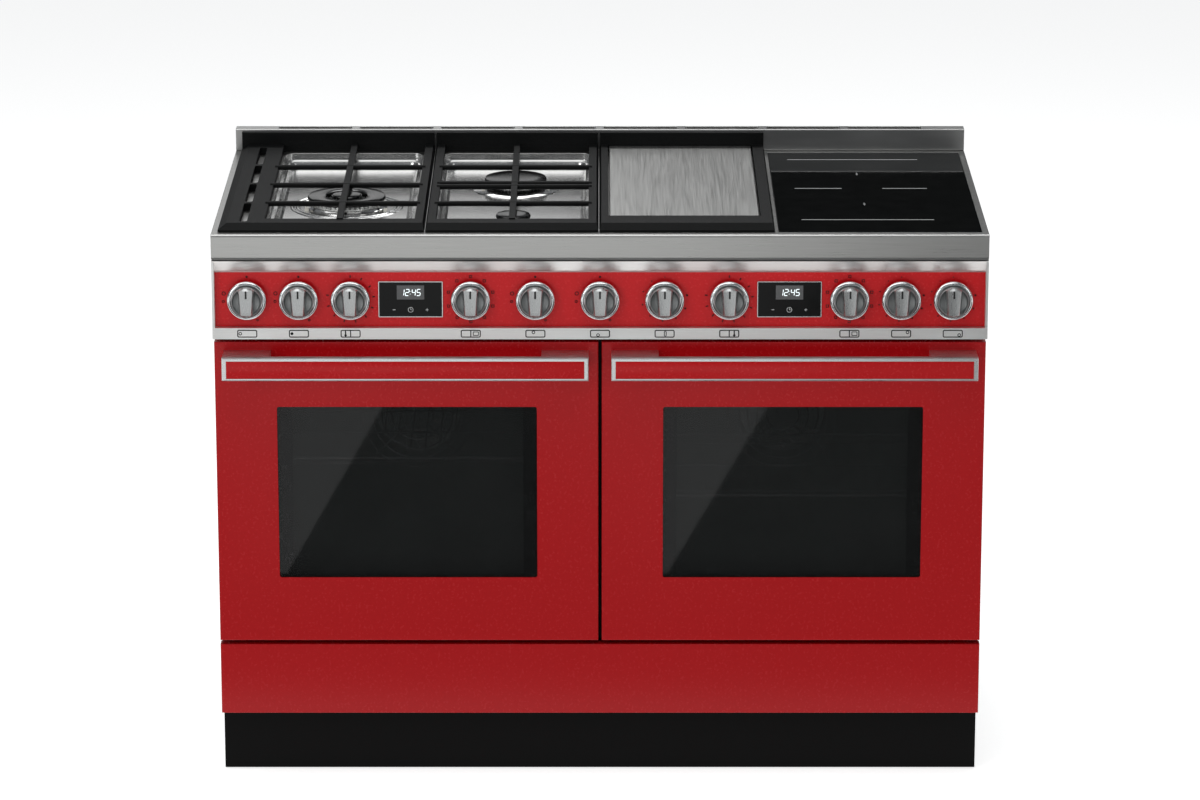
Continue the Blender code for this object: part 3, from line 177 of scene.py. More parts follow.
# Black molton cloth soaks up light. One length lies in front, up to where the worktop mirrors the
# floor; one lies further off on the right, and one hangs at the rear right for the glass hob.
black_cloth = surface("black_molton_cloth", "#050505", "#0A0A0A",
                      {"Roughness": 1.0, "Specular IOR Level": 0.0}, 2.0)
CLOTHS = {
    "front_cloth": [(-2.6, -2.45, 0.01), (2.6, -2.45, 0.01), (2.6, -0.64, 0.01), (-2.6, -0.64, 0.01)],
    "right_cloth": [(1.2, -6.5, 0.01), (4.0, -6.5, 0.01), (4.0, -2.8, 0.01), (0.35, -2.8, 0.01)],
    "rear_cloth": [(0.02, 5.0, 1.5), (3.5, 5.0, 1.5), (3.5, 5.0, 2.6), (0.02, 5.0, 2.6)],
}
for name, corners in CLOTHS.items():
    add_unseen(name, corners, black_cloth)

# Grey paper. Two wedges lie on the front cloth, and the door windows mirror their slanting edges.
# One length hangs at the rear left, where the burner wells mirror it.
grey_paper = surface("grey_paper", "#B8B8B8", "#BEBEBE",
                     {"Roughness": 1.0, "Specular IOR Level": 0.0, "Emission Strength": 0.42,
                      "Emission Color": linear("#FFFFFF")}, 3.0)
PAPERS = {
    "left_paper": [(-0.60726, -1.30, 0.012), (-0.55726, -1.30, 0.012),
                   (-0.42405, -2.45, 0.012), (-0.68507, -2.45, 0.012)],
    "right_paper": [(0.07074, -1.30, 0.012), (0.12074, -1.30, 0.012),
                    (0.34695, -2.45, 0.012), (0.08593, -2.45, 0.012)],
    "rear_paper": [(-3.5, 5.0, 1.6), (0.0, 5.0, 1.6), (0.0, 5.0, 2.9), (-3.5, 5.0, 2.9)],
}
for name, corners in PAPERS.items():
    add_unseen(name, corners, grey_paper)

scene.world = bpy.data.worlds.new("studio")
scene.world.use_nodes = True
scene.world.node_tree.nodes["Background"].inputs[0].default_value = linear("#707274")

LAMPS = [
    # name, place, aimed at, width, height, watts
    ("top_softbox", (-0.5, -0.6, 3.1), (0.0, 0.0, 0.6), 3.4, 2.2, 44),
    ("left_softbox", (-3.6, -4.2, 2.3), (0.0, 0.0, 0.5), 2.4, 2.4, 66),
    ("right_softbox", (3.8, -3.6, 1.9), (0.0, 0.0, 0.5), 1.6, 2.2, 24),
    ("rear_softbox", (0.3, 2.9, 3.6), (0.0, 0.1, 0.7), 2.6, 1.2, 40),
]
for name, place, aim, width, height, watts in LAMPS:
    lamp = bpy.data.objects.new(name, bpy.data.lights.new(name, "AREA"))
    lamp.data.shape = "RECTANGLE"
    lamp.data.size = width
    lamp.data.size_y = height
    lamp.data.energy = watts
    lamp.location = place
    lamp.rotation_euler = (Vector(aim) - Vector(place)).to_track_quat("-Z", "Y").to_euler()
    scene.collection.objects.link(lamp)


# Casing. Side panels, back panel and base pan are folded from galvanised sheet and screwed to each
# other; the finish is the mill's own zinc, left bare because it stands between kitchen units.
FRONT_FACE = -0.275       # y of the doors' and worktop's front faces
WELD = 2e-6               # vertices nearer than this are one
ROUNDED_ANGLE = math.radians(30)
SHARP_ANGLE = math.radians(35)


def smooth_copy(node, piece, material, edge=0.0, steps=2):
    """Copies a CAD node's shape, rounds its sharp edges by so many millimetres, and stands for it.

    Its flat faces stay flat right up to their rounded edges.
    """
    source = frame["nodes"][node]
    bm = bmesh.new()
    bm.from_mesh(source.data)
    bmesh.ops.remove_doubles(bm, verts=bm.verts, dist=WELD)
    bmesh.ops.dissolve_limit(bm, angle_limit=math.radians(0.5), verts=bm.verts, edges=bm.edges)
    if edge:
        sharp = [e for e in bm.edges if len(e.link_faces) == 2
                 and e.calc_face_angle() > ROUNDED_ANGLE]
        bmesh.ops.bevel(bm, geom=sharp, offset=edge / 1000, segments=steps, profile=0.5,
                        affect="EDGES", clamp_overlap=True)
    made = make_piece(piece, bm, material, source["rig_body"], [node])
    made.modifiers.new("flat_faces", "WEIGHTED_NORMAL").keep_sharp = True
    return made


def dress(material, *nodes):
    """Gives CAD nodes that are right as they are their finish."""
    for node in nodes:
        for holder in frame["nodes"][node].material_slots:
            holder.material = material


def finish_mesh(name, bm, material):
    """A mesh with one finish, shaded smooth between its sharp edges."""
    bmesh.ops.recalc_face_normals(bm, faces=bm.faces)
    mesh = bpy.data.meshes.new(name)
    bm.to_mesh(mesh)
    bm.free()
    mesh.materials.append(material)
    mesh.shade_smooth()
    mesh.set_sharp_from_angle(angle=SHARP_ANGLE)
    return mesh


def make_piece(name, bm, material, body, replaced=()):
    """Turns a mesh into a named piece that rides on a body."""
    return set_piece(name, finish_mesh(name, bm, material), body, replaced)


def set_piece(name, mesh, body, replaced=(), place=(0, 0, 0)):
    """Puts a finished mesh in its place on a body, so that like pieces can share one mesh."""
    piece = bpy.data.objects.new(name, mesh)
    piece.location = place
    scene.collection.objects.link(piece)
    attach(piece, body)
    if replaced:
        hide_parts(*replaced)
    return piece


def add_skin(bm, rings, loop=False):
    """Skins a row of like outlines with faces, and closes its ends or joins the last to the first."""
    rows = [[bm.verts.new(point) for point in ring] for ring in rings]
    pairs = list(zip(rows, rows[1:])) + ([(rows[-1], rows[0])] if loop else [])
    for near, far in pairs:
        for i in range(len(near)):
            j = (i + 1) % len(near)
            bm.faces.new((near[i], near[j], far[j], far[i]))
    if not loop:
        bm.faces.new(rows[0])
        bm.faces.new(rows[-1])


def add_block(bm, low, high, edge=0.0):
    """A block with its edges rounded by so many millimetres."""
    made = bmesh.ops.create_cube(bm, size=1.0)["verts"]
    for vert in made:
        vert.co = [low[i] + (vert.co[i] + 0.5) * (high[i] - low[i]) for i in range(3)]
    if edge:
        edges = {e for v in made for e in v.link_edges}
        bmesh.ops.bevel(bm, geom=list(edges), offset=edge / 1000, segments=2, profile=0.5,
                        affect="EDGES", clamp_overlap=True)


def add_turned(bm, profile, centre=(0, 0, 0), axis="Z", steps=48, loop=False):
    """Turns a profile of (radius, distance along the axis) round the Y or Z axis through a centre."""
    rings = []
    for radius, along in profile:
        ring = []
        for k in range(steps):
            angle = math.tau * k / steps
            a, b = radius * math.cos(angle), radius * math.sin(angle)
            offset = (a, along, b) if axis == "Y" else (a, b, along)
            ring.append([centre[i] + offset[i] for i in range(3)])
        rings.append(ring)
    add_skin(bm, rings, loop=loop)


def add_rod(bm, points, radius, sides=8, loop=False):
    """Bends a round rod along a line of points."""
    points = [Vector(p) for p in points]
    count = len(points)
    rings = []
    side = None
    for k, point in enumerate(points):
        before = points[k - 1] if k or loop else point
        after = points[(k + 1) % count] if k < count - 1 or loop else point
        along = (after - before).normalized()
        side = along.orthogonal() if side is None else side - along * side.dot(along)
        side.normalize()
        up = along.cross(side)
        rings.append([point + radius * (math.cos(math.tau * i / sides) * side
                                        + math.sin(math.tau * i / sides) * up)
                      for i in range(sides)])
    add_skin(bm, rings, loop=loop)


# Hot-dip galvanised sheet: large soft crystals, about 10 mm, of slightly different greys.
galvanised = surface("hot_dip_galvanised_steel", "#A0A4A6", "#B0B4B5",
                     {"Metallic": 1.0}, 10.0, rough=(0.38, 0.48), detail=1.0)
dress(galvanised, "side_panel_left", "side_panel_right", "back_panel", "base_pan")

# The panels' screws are all one: a pan head with a cross recess, flat on XY and pointing up.
SCREW_RADIUS = 0.0042
SCREW_HEIGHT = 0.0022
screw_zinc = surface("zinc_plated_screw", "#8A8C8C", "#B9BBBA", {"Metallic": 1.0}, 1.0,
                     rough=(0.25, 0.4))
bm = bmesh.new()
add_turned(bm, [(SCREW_RADIUS, 0), (SCREW_RADIUS, 0.4 * SCREW_HEIGHT),
                (0.8 * SCREW_RADIUS, 0.85 * SCREW_HEIGHT), (0.5 * SCREW_RADIUS, SCREW_HEIGHT)],
           steps=16)
for wide, long in ((0.00045, 0.0026), (0.0026, 0.00045)):
    add_block(bm, (-wide, -long, SCREW_HEIGHT - 0.0002), (wide, long, SCREW_HEIGHT + 0.0002))
screw_pattern = finish_mesh("pan_head_screw", bm, screw_zinc)


def drive_screws(name, places, faces, body="range_body"):
    """Screws at a list of places, all with their heads turned to one direction."""
    bm = bmesh.new()
    turn = Vector(faces).to_track_quat("Z", "Y").to_matrix().to_4x4()
    for place in places:
        first = len(bm.verts)
        bm.from_mesh(screw_pattern)
        bm.verts.ensure_lookup_table()
        bmesh.ops.transform(bm, matrix=Matrix.Translation(place) @ turn, verts=bm.verts[first:])
    return make_piece(name, bm, screw_zinc, body)


SCREW_HEIGHTS = (0.16, 0.40, 0.62, 0.80)
BACK_FACE = 0.325         # y of the back panel's outer face
SIDES = (("left", -1), ("right", 1))
for side, sign in SIDES:
    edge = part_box("side_panel_" + side)[sign > 0].x
    drive_screws("side_screws_" + side,
                 [(edge, y, z) for y in (-0.205, 0.305) for z in SCREW_HEIGHTS], (sign, 0, 0))
drive_screws("back_screws", [(x, BACK_FACE, z) for x in (-0.58, -0.2, 0.2, 0.58)
                             for z in (0.13, 0.83)]
             + [(x, BACK_FACE, z) for x in (-0.58, 0.58) for z in (0.36, 0.6)], (0, 1, 0))

# Pressed louvres that let the ovens' cooling air out of the back panel: half-round hoods, open below.
LOUVRE_LENGTH = 0.150
LOUVRE_RISE = 0.0045
LOUVRE_HEIGHT = 0.012
bm = bmesh.new()
for centre in (-0.31, 0.31):
    for row in range(7):
        bottom = 0.640 + row * 0.021
        rings = []
        for k in range(13):
            share = k / 12
            bulge = math.sin(math.pi * share) ** 0.35 if 0 < share < 1 else 0.02
            x = centre + (share - 0.5) * LOUVRE_LENGTH
            rings.append([(x, BACK_FACE, bottom), (x, BACK_FACE + LOUVRE_RISE * bulge, bottom),
                          (x, BACK_FACE + LOUVRE_RISE * bulge * 0.8, bottom + LOUVRE_HEIGHT * 0.45),
                          (x, BACK_FACE, bottom + LOUVRE_HEIGHT)])
        add_skin(bm, rings)
make_piece("back_louvres", bm, galvanised, "range_body")

# Terminal cover of the mains supply: a moulded lid held by two screws. The supply cord is fitted
# when the range is installed, and isn't part of it.
black_polyamide = surface("moulded_black_polyamide", "#0D0D0E", "#171718", {}, 1.5,
                          rough=(0.42, 0.55), bump=0.02)
bm = bmesh.new()
add_block(bm, (0.34, BACK_FACE, 0.185), (0.47, BACK_FACE + 0.012, 0.275), 3.0)
for k in range(5):
    x = 0.365 + k * 0.02
    add_block(bm, (x - 0.0015, BACK_FACE + 0.0115, 0.2), (x + 0.0015, BACK_FACE + 0.0135, 0.26), 0.5)
make_piece("terminal_cover", bm, black_polyamide, "range_body")
drive_screws("terminal_cover_screws", [(x, BACK_FACE + 0.012, 0.23) for x in (0.348, 0.462)],
             (0, 1, 0))

# Gas inlet: a hexagon nut and a threaded stub of turned brass, high up on the back.
brass = surface("turned_brass", "#A9853F", "#C6A459", {"Metallic": 1.0}, 0.8, rough=(0.2, 0.35))
bm = bmesh.new()
inlet = (-0.52, BACK_FACE, 0.78)
add_turned(bm, [(0.0165, 0.0), (0.0165, 0.0065), (0.015, 0.008)], inlet, "Y", 6)
thread = [(0.0105 if k % 2 else 0.0095, 0.008 + 0.0009 * k) for k in range(13)]
add_turned(bm, thread + [(0.0072, 0.0192), (0.0072, 0.010)], inlet, "Y", 24)
make_piece("gas_inlet", bm, brass, "range_body")


# Plinth and feet. The plinth is a folded steel kick strip with a satin black stove enamel; behind
# it stand four feet, screwed steel stems in a moulded foot.
black_enamel = surface("satin_black_stove_enamel", "#030303", "#060606",
                       {"Specular IOR Level": 0.08}, 3.0, rough=(0.38, 0.46), bump=0.005)
smooth_copy("plinth", "plinth_strip", black_enamel, 1.2)
dress(black_polyamide, "foot_front_left", "foot_front_right", "foot_rear_left", "foot_rear_right")


# Front frame. The carcass's front is bent from stainless sheet and spot welded; the grain of its
# brushing runs along it.
def brushed(name, dark, light, rough, along="X", grain=1.1, bump=0.0012):
    """Stainless sheet brushed along an axis. Real lines are 0.1 mm wide; these are drawn coarser."""
    pull = [90 if axis == along else 1 for axis in "XYZ"]
    return surface(name, dark, light, {"Metallic": 1.0}, grain, pull, rough, bump)


stainless = brushed("brushed_stainless_304", "#ACACAA", "#B7B7B5", (0.27, 0.3))
# Painted shade: the carcass steel is coloured far darker than bare stainless, so that the narrow gaps
# round the doors and drawer show dark.
frame_steel = brushed("painted_shade_stainless_carcass", "#3E3F3F", "#4A4B4B", (0.5, 0.6))
dress(frame_steel, "front_frame")

# Oven gaskets: woven glass-fibre rope in silicone, clipped round each opening of the frame.
gasket_rubber = surface("black_silicone_gasket", "#0B0B0B", "#161616", {"Roughness": 0.7}, 1.5,
                        bump=0.1)


def rounded(half_width, half_height, radius, centre=(0, 0), steps=5):
    """The outline of a rectangle with round corners, as (across, up) points."""
    points = []
    for corner, (sx, sz) in enumerate(((1, 1), (-1, 1), (-1, -1), (1, -1))):
        for k in range(steps + 1):
            angle = math.pi / 2 * (corner + k / steps)
            points.append((centre[0] + sx * (half_width - radius) + radius * math.cos(angle),
                           centre[1] + sz * (half_height - radius) + radius * math.sin(angle)))
    return points


def add_band(bm, outer, inner, front, back):
    """A flat ring between two outlines of the same number of points, standing upright."""
    add_skin(bm, [[(x, back, z) for x, z in outer], [(x, front, z) for x, z in outer],
                  [(x, front, z) for x, z in inner], [(x, back, z) for x, z in inner]], loop=True)


OVEN_X = 0.30025          # each oven's and door's centre
OVEN_Z = 0.478            # height of each cavity's centre
for side, sign in SIDES:
    bm = bmesh.new()
    centre = (sign * OVEN_X, OVEN_Z)
    add_band(bm, rounded(0.244, 0.203, 0.012, centre), rounded(0.2365, 0.1955, 0.008, centre),
             FRONT_FACE + 0.0381, FRONT_FACE + 0.0404)
    make_piece("oven_gasket_" + side, bm, gasket_rubber, "range_body")


# Ovens. Each cavity is a welded box of sheet steel, glazed inside with a dark grey vitreous enamel
# with fine white flecks, with shelf runners pressed into its sides.
def flecked_enamel(name, base, fleck):
    """Glazed vitreous enamel. The flecks are 1 to 2 mm, a little over their real size."""
    material = surface(name, base, fleck, {"Roughness": 0.24, "Coat Weight": 0.3}, 2.2, detail=0.0)
    spread = next(n for n in material.node_tree.nodes if n.type == "MAP_RANGE")
    spread.inputs[1].default_value = 0.66
    spread.inputs[2].default_value = 0.74
    return material


oven_enamel = flecked_enamel("flecked_grey_vitreous_enamel", "#26282A", "#8A8D8F")
dress(oven_enamel, "oven_liner_left", "oven_liner_right", "inner_door_left", "inner_door_right")
chrome_wire = surface("chrome_plated_wire", "#B9BCBE", "#D2D4D5", {"Metallic": 1.0}, 3.0,
                      rough=(0.1, 0.2))
lamp_glass = surface("clear_lamp_glass", "#C9CCCB", "#DDE0DF",
                     {"Roughness": 0.05, "Alpha": 0.45}, 6.0)
fan_steel = surface("aluminised_steel", "#8F9294", "#A9ACAD", {"Metallic": 1.0}, 4.0,
                    rough=(0.3, 0.45))
element_alloy = surface("oxidised_heating_element", "#2B2622", "#3B352F", {"Metallic": 0.6}, 5.0,
                        rough=(0.45, 0.6))

CAVITY_FRONT = FRONT_FACE + 0.0433
CAVITY_BACK = FRONT_FACE + 0.4713
CAVITY_HALF = 0.23175
SHELF_STEP = 0.0546
WIRE = 0.0025             # radii of the rack's frame and of its thin wires
FINE_WIRE = 0.0014
FINE_WIRES = 19
GRILL_Z = 0.651
GRILL_RUNS = 6
for side, sign in SIDES:
    oven = sign * OVEN_X
    rack_low, rack_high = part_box("oven_rack_" + side)

    bm = bmesh.new()
    for level in range(-2, 5):
        shelf = rack_low.z + (level - (side == "left")) * SHELF_STEP
        if not 0.33 < shelf < 0.63:
            continue
        for wall in (-1, 1):
            x = oven + wall * (CAVITY_HALF - 0.0001)
            for z in (shelf - 0.0032, shelf + 0.0092):
                add_rod(bm, [(x, CAVITY_FRONT + 0.02, z), (x, CAVITY_BACK - 0.02, z)], 0.0026)
    make_piece("shelf_runners_" + side, bm, oven_enamel, "range_body")

    # The rack: a bent wire frame with thinner wires welded across it, chrome plated.
    bm = bmesh.new()
    left, right = rack_low.x + WIRE, rack_high.x - WIRE
    near, far = rack_low.y + WIRE, rack_high.y - WIRE
    level = rack_low.z + WIRE
    frame_line = [(x, y, level) for x, y in rounded((right - left) / 2, (far - near) / 2, 0.012,
                                                    (oven, (near + far) / 2))]
    add_rod(bm, frame_line, WIRE, loop=True)
    for y in (near + 0.03, (near + far) / 2, far - 0.05):
        add_rod(bm, [(left, y, level - 0.0008), (right, y, level - 0.0008)], 0.0017)
    for k in range(FINE_WIRES):
        x = left + (right - left) * (k + 1) / (FINE_WIRES + 1)
        add_rod(bm, [(x, near, level + 0.001), (x, far, level + 0.001)], FINE_WIRE, 6)
    make_piece("wire_rack_" + side, bm, chrome_wire, "oven_rack_" + side,
               ["oven_rack_" + side])

    # The fan: a pressed wheel of bent blades on a hub, behind a welded wire guard.
    fan_low, fan_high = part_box("oven_fan_" + side)
    hub = (oven, 0.0, OVEN_Z)
    front = fan_low.y
    bm = bmesh.new()
    add_turned(bm, [(0.0695, front + 0.020), (0.0695, front + 0.0212), (0.006, front + 0.0212),
                    (0.006, front + 0.020)], hub, "Y", 40, loop=True)
    add_turned(bm, [(0.0, front + 0.001), (0.008, front + 0.0015), (0.010, front + 0.006),
                    (0.010, front + 0.022), (0.0038, front + 0.022), (0.0038, fan_high.y)],
               hub, "Y", 24)
    for k in range(18):
        angle = math.tau * k / 18
        rings = []
        for radius, lean in ((0.030, 0.0), (0.050, 0.10), (0.0690, 0.26)):
            x = oven + radius * math.cos(angle + lean)
            z = OVEN_Z + radius * math.sin(angle + lean)
            tx, tz = -math.sin(angle + lean) * 0.0005, math.cos(angle + lean) * 0.0005
            rings.append([(x - tx, front + 0.001, z - tz), (x + tx, front + 0.001, z + tz),
                          (x + tx, front + 0.0201, z + tz), (x - tx, front + 0.0201, z - tz)])
        add_skin(bm, rings)
    make_piece("fan_wheel_" + side, bm, fan_steel, "oven_fan_" + side,
               ["oven_fan_" + side])

    bm = bmesh.new()
    guard = front - 0.009
    for radius in (0.026, 0.042, 0.058, 0.074, 0.090):
        add_rod(bm, [(oven + radius * math.cos(math.tau * k / 36), guard,
                      OVEN_Z + radius * math.sin(math.tau * k / 36)) for k in range(36)],
                0.0014, 6, loop=True)
    for k in range(4):
        angle = math.tau * (k + 0.5) / 4
        across, up = math.cos(angle), math.sin(angle)
        add_rod(bm, [(oven + r * across, y, OVEN_Z + r * up) for r, y in
                     ((0.026, guard + 0.002), (0.090, guard + 0.002), (0.096, guard + 0.006),
                      (0.098, CAVITY_BACK))], 0.0018, 6)
    make_piece("fan_guard_" + side, bm, chrome_wire, "range_body")

    # The oven lamp: a screwed round glass in a metal ring, high up at the back.
    bm = bmesh.new()
    lamp_place = (oven - sign * 0.165, 0, 0.600)
    add_turned(bm, [(0.026, CAVITY_BACK), (0.026, CAVITY_BACK - 0.005),
                    (0.0235, CAVITY_BACK - 0.007), (0.022, CAVITY_BACK - 0.005),
                    (0.022, CAVITY_BACK)], lamp_place, "Y", 32, loop=True)
    make_piece("lamp_ring_" + side, bm, chrome_wire, "range_body")
    bm = bmesh.new()
    add_turned(bm, [(0.0219, CAVITY_BACK - 0.001), (0.0219, CAVITY_BACK - 0.0055),
                    (0.018, CAVITY_BACK - 0.009), (0.010, CAVITY_BACK - 0.0115),
                    (0.001, CAVITY_BACK - 0.012)], lamp_place, "Y", 32)
    make_piece("lamp_lens_" + side, bm, lamp_glass, "range_body")

    # The grill element: one bent rod under the cavity's roof.
    bm = bmesh.new()
    points = []
    last = GRILL_RUNS - 1
    for k in range(GRILL_RUNS):
        x = oven - 0.15 + 0.3 * k / last
        ends = [CAVITY_FRONT + 0.06, CAVITY_BACK if k in (0, last) else CAVITY_BACK - 0.09]
        ends = ends[::-1] if k % 2 == 0 else ends
        inward = 0.010 if ends[0] < ends[1] else -0.010
        points += [(x, ends[0] + (0 if k == 0 else inward), GRILL_Z),
                   (x, ends[1] - (0 if k == last else inward), GRILL_Z)]
        if k < last:
            points += [(x + 0.008, ends[1], GRILL_Z), (x + 0.15 / last + 0.022, ends[1], GRILL_Z)]
    add_rod(bm, points, 0.0035)
    make_piece("grill_element_" + side, bm, element_alloy, "range_body")


# Oven doors. Each is a sheet steel panel, folded back at its edges and coated in a deep red enamel,
# with a window of dark glass behind its opening and an enamelled inner frame screwed on behind.
def red_finish(name, dark, light):
    """Glossy enamel: an even deep colour under a clear gloss, its flow 4 mm across."""
    return surface(name, dark, light, {"Specular IOR Level": 0.24}, 4.0, rough=(0.25, 0.28))


red_enamel = red_finish("deep_red_enamel", "#9B080E", "#A20A10")
DOOR_EDGE = 1.2
for side in ("left", "right"):
    smooth_copy("door_panel_" + side, "enamelled_door_" + side, red_enamel, DOOR_EDGE, 3)

# Tinted door glass: nearly black from outside, with a sharp gloss. Its faint unevenness is the
# float glass's own.
tinted_glass = surface("tinted_float_glass", "#191A1A", "#1C1D1D",
                       {"Alpha": 0.55, "Specular IOR Level": 0.42}, 60.0, rough=(0.02, 0.03))
clear_glass = surface("clear_float_glass", "#B9C4C0", "#C5CFCB", {"Alpha": 0.12}, 60.0,
                      rough=(0.02, 0.03))
dress(tinted_glass, "door_glass_left", "door_glass_right")
for side, sign in SIDES:
    body = "door_" + side
    oven = sign * OVEN_X
    # The inner pane sits in the inner frame, held by four clips.
    bm = bmesh.new()
    add_block(bm, (oven - 0.1803, FRONT_FACE + 0.0290, 0.3355),
              (oven + 0.1803, FRONT_FACE + 0.0330, 0.6110), 0.6)
    make_piece("inner_pane_" + side, bm, clear_glass, body)
    bm = bmesh.new()
    for x in (oven - 0.12, oven + 0.12):
        for z, step in ((0.335, -1), (0.6115, 1)):
            add_block(bm, (x - 0.012, FRONT_FACE + 0.0376, min(z - 0.005 * step, z + 0.010 * step)),
                      (x + 0.012, FRONT_FACE + 0.0392, max(z - 0.005 * step, z + 0.010 * step)), 0.5)
    make_piece("pane_clips_" + side, bm, chrome_wire, body)
    drive_screws("inner_door_screws_" + side,
                 [(oven + x, FRONT_FACE + 0.0377, z) for x in (-0.262, 0.262)
                  for z in (0.262, 0.685)], (0, 1, 0), body)


# Door handles. A flat bar of silver anodised aluminium on two feet, with a recess along its front
# that holds an inlay in the door's own red.
anodised = surface("silver_anodised_aluminium", "#E2E5E5", "#ECEFEF", {"Metallic": 1.0}, 1.6,
                   (40, 1, 1), (0.26, 0.32), 0.001)
inlay_red = red_finish("red_inlay_lacquer", "#A20D12", "#A90F14")
for side in ("left", "right"):
    smooth_copy("handle_" + side, "anodised_handle_" + side, anodised, 0.5)
    low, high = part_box("handle_" + side)
    bm = bmesh.new()
    add_block(bm, (low.x + 0.0067, low.y - 0.0001, low.z + 0.0037),
              (high.x - 0.0067, low.y + 0.001, high.z - 0.0052), 0.4)
    make_piece("handle_inlay_" + side, bm, inlay_red, "door_" + side)


# Storage drawer. Its front is one enamelled panel like the doors; the box behind is folded sheet.
smooth_copy("drawer_front", "enamelled_drawer_front", red_enamel, DOOR_EDGE, 3)
dress(galvanised, "drawer_box")


# Worktop. One sheet of brushed stainless steel, pressed to form two satin burner wells, with a
# rounded front edge, a rolled hem under it and two rings embossed round the wok burner.
worktop = smooth_copy("hob_top", "pressed_worktop", stainless, 1.2, 3)
satin_steel = surface("satin_stainless_pressing", "#CFCFCE", "#D8D8D7", {"Metallic": 1.0}, 25.0,
                      rough=(0.2, 0.24))
worktop.data.materials.append(satin_steel)
for face in worktop.data.polygons:
    x, y, z = face.center
    if 0.860 < z < 0.8885 and -0.26 < y < 0.285 and abs(x) < 0.59:
        face.material_index = 1
FRONT_EDGE_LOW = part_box("hob_top")[0].z
bm = bmesh.new()
add_rod(bm, [(x, FRONT_FACE + 0.0006, FRONT_EDGE_LOW + 0.0012) for x in (-0.5985, 0.5985)], 0.0016)
make_piece("worktop_hem", bm, stainless, "range_body")
WELL_FLOOR = 0.866
BURNER_X = -0.13625
WOK = (-0.4035, FRONT_FACE + 0.284)
REAR_BURNER = (BURNER_X, FRONT_FACE + 0.408)
FRONT_BURNER = (BURNER_X, FRONT_FACE + 0.160)
bm = bmesh.new()
for radius in (0.078, 0.087):
    add_turned(bm, [(radius - 0.004, WELL_FLOOR - 0.0005), (radius - 0.002, WELL_FLOOR + 0.0010),
                    (radius, WELL_FLOOR + 0.0014), (radius + 0.002, WELL_FLOOR + 0.0010),
                    (radius + 0.004, WELL_FLOOR - 0.0005)], (*WOK, 0), steps=64, loop=True)
make_piece("embossed_wok_rings", bm, satin_steel, "range_body")

# The wells' walls step inward half way down, at a round shoulder.
bm = bmesh.new()
WELL_FRONT = FRONT_FACE + 0.030
WELL_BACK = FRONT_FACE + 0.555
for left, right in ((-0.517, -0.290), (-0.2575, -0.015)):
    centre = ((left + right) / 2, (WELL_FRONT + WELL_BACK) / 2)
    rings = []
    for inset, z in ((0.0002, 0.8655), (0.0002, 0.8790), (0.0045, 0.8787), (0.0080, 0.8770),
                     (0.0095, 0.8735), (0.0100, 0.8700), (0.0120, 0.8675), (0.0160, 0.8663),
                     (0.0165, 0.8655)):
        rings.append([(x, y, z) for x, y in rounded((right - left) / 2 - inset,
                      (WELL_BACK - WELL_FRONT) / 2 - inset, 0.022 - inset, centre)])
    add_skin(bm, rings, loop=True)
make_piece("stepped_well_walls", bm, satin_steel, "range_body")
upstand_steel = surface("satin_stainless_upstand", "#B4B4B3", "#BEBEBD", {"Metallic": 1.0}, 25.0,
                        (4, 1, 1), (0.3, 0.34))
smooth_copy("rear_upstand", "folded_upstand", upstand_steel, 0.6)


# Burners. Each has a bowl of spun stainless steel, a crown of cast aluminium with flame slots cut
# round its edge, and a loose black enamelled steel cap; a ceramic spark plug stands beside it.
spun_steel = surface("polished_spun_steel", "#D2D2D1", "#E2E2E1", {"Metallic": 1.0}, 2.0,
                     rough=(0.12, 0.18), bump=0.002)
cast_aluminium = surface("machined_cast_aluminium", "#C2C3C2", "#D6D7D5", {"Metallic": 1.0}, 1.2,
                         rough=(0.2, 0.3), bump=0.005)
cap_enamel = surface("glossy_black_cap_enamel", "#070808", "#0D0E0E", {"Specular IOR Level": 0.5},
                     1.0, rough=(0.12, 0.18))
white_ceramic = surface("glazed_white_ceramic", "#DAD7CF", "#E9E6DE", {}, 2.0, rough=(0.2, 0.3))
electrode_steel = surface("blued_electrode_steel", "#5E6064", "#7B7D80", {"Metallic": 1.0}, 1.0,
                          rough=(0.3, 0.45))


def add_crown(bm, place, low, high, outer, inner, slots):
    """A crown with flame slots round its edge: a toothed ring on a plain one."""
    add_turned(bm, [(outer, low), (outer, low + 0.35 * (high - low)),
                    (inner, low + 0.35 * (high - low)), (inner, low)],
               (*place, 0), steps=64, loop=True)
    for k in range(slots):
        rings = []
        for angle in (math.tau * (k + 0.16) / slots, math.tau * (k + 0.84) / slots):
            rings.append([(place[0] + r * math.cos(angle), place[1] + r * math.sin(angle), z)
                          for r, z in ((inner + 0.002, low), (outer - 0.0005, low),
                                       (outer - 0.0005, high), (inner + 0.002, high))])
        add_skin(bm, rings)


def add_cap(bm, place, low, high, radius, hole=0.0):
    """A pressed cap with a rolled edge and a slightly domed top."""
    edge = 0.0022
    profile = [(radius - 0.004, low), (radius - edge, low), (radius - 0.0004, low + edge * 0.6),
               (radius, low + edge * 1.4), (radius - 0.0006, high - edge * 1.2),
               (radius - edge, high - 0.0009), (radius - 0.006, high - 0.0002)]
    if hole:
        profile += [(hole + 0.004, high), (hole + 0.001, high - 0.0010), (hole, high - 0.003),
                    (hole, low)]
    else:
        profile += [(radius * 0.5, high), (0.0004, high)]
    add_turned(bm, profile, (*place, 0), steps=64, loop=bool(hole))


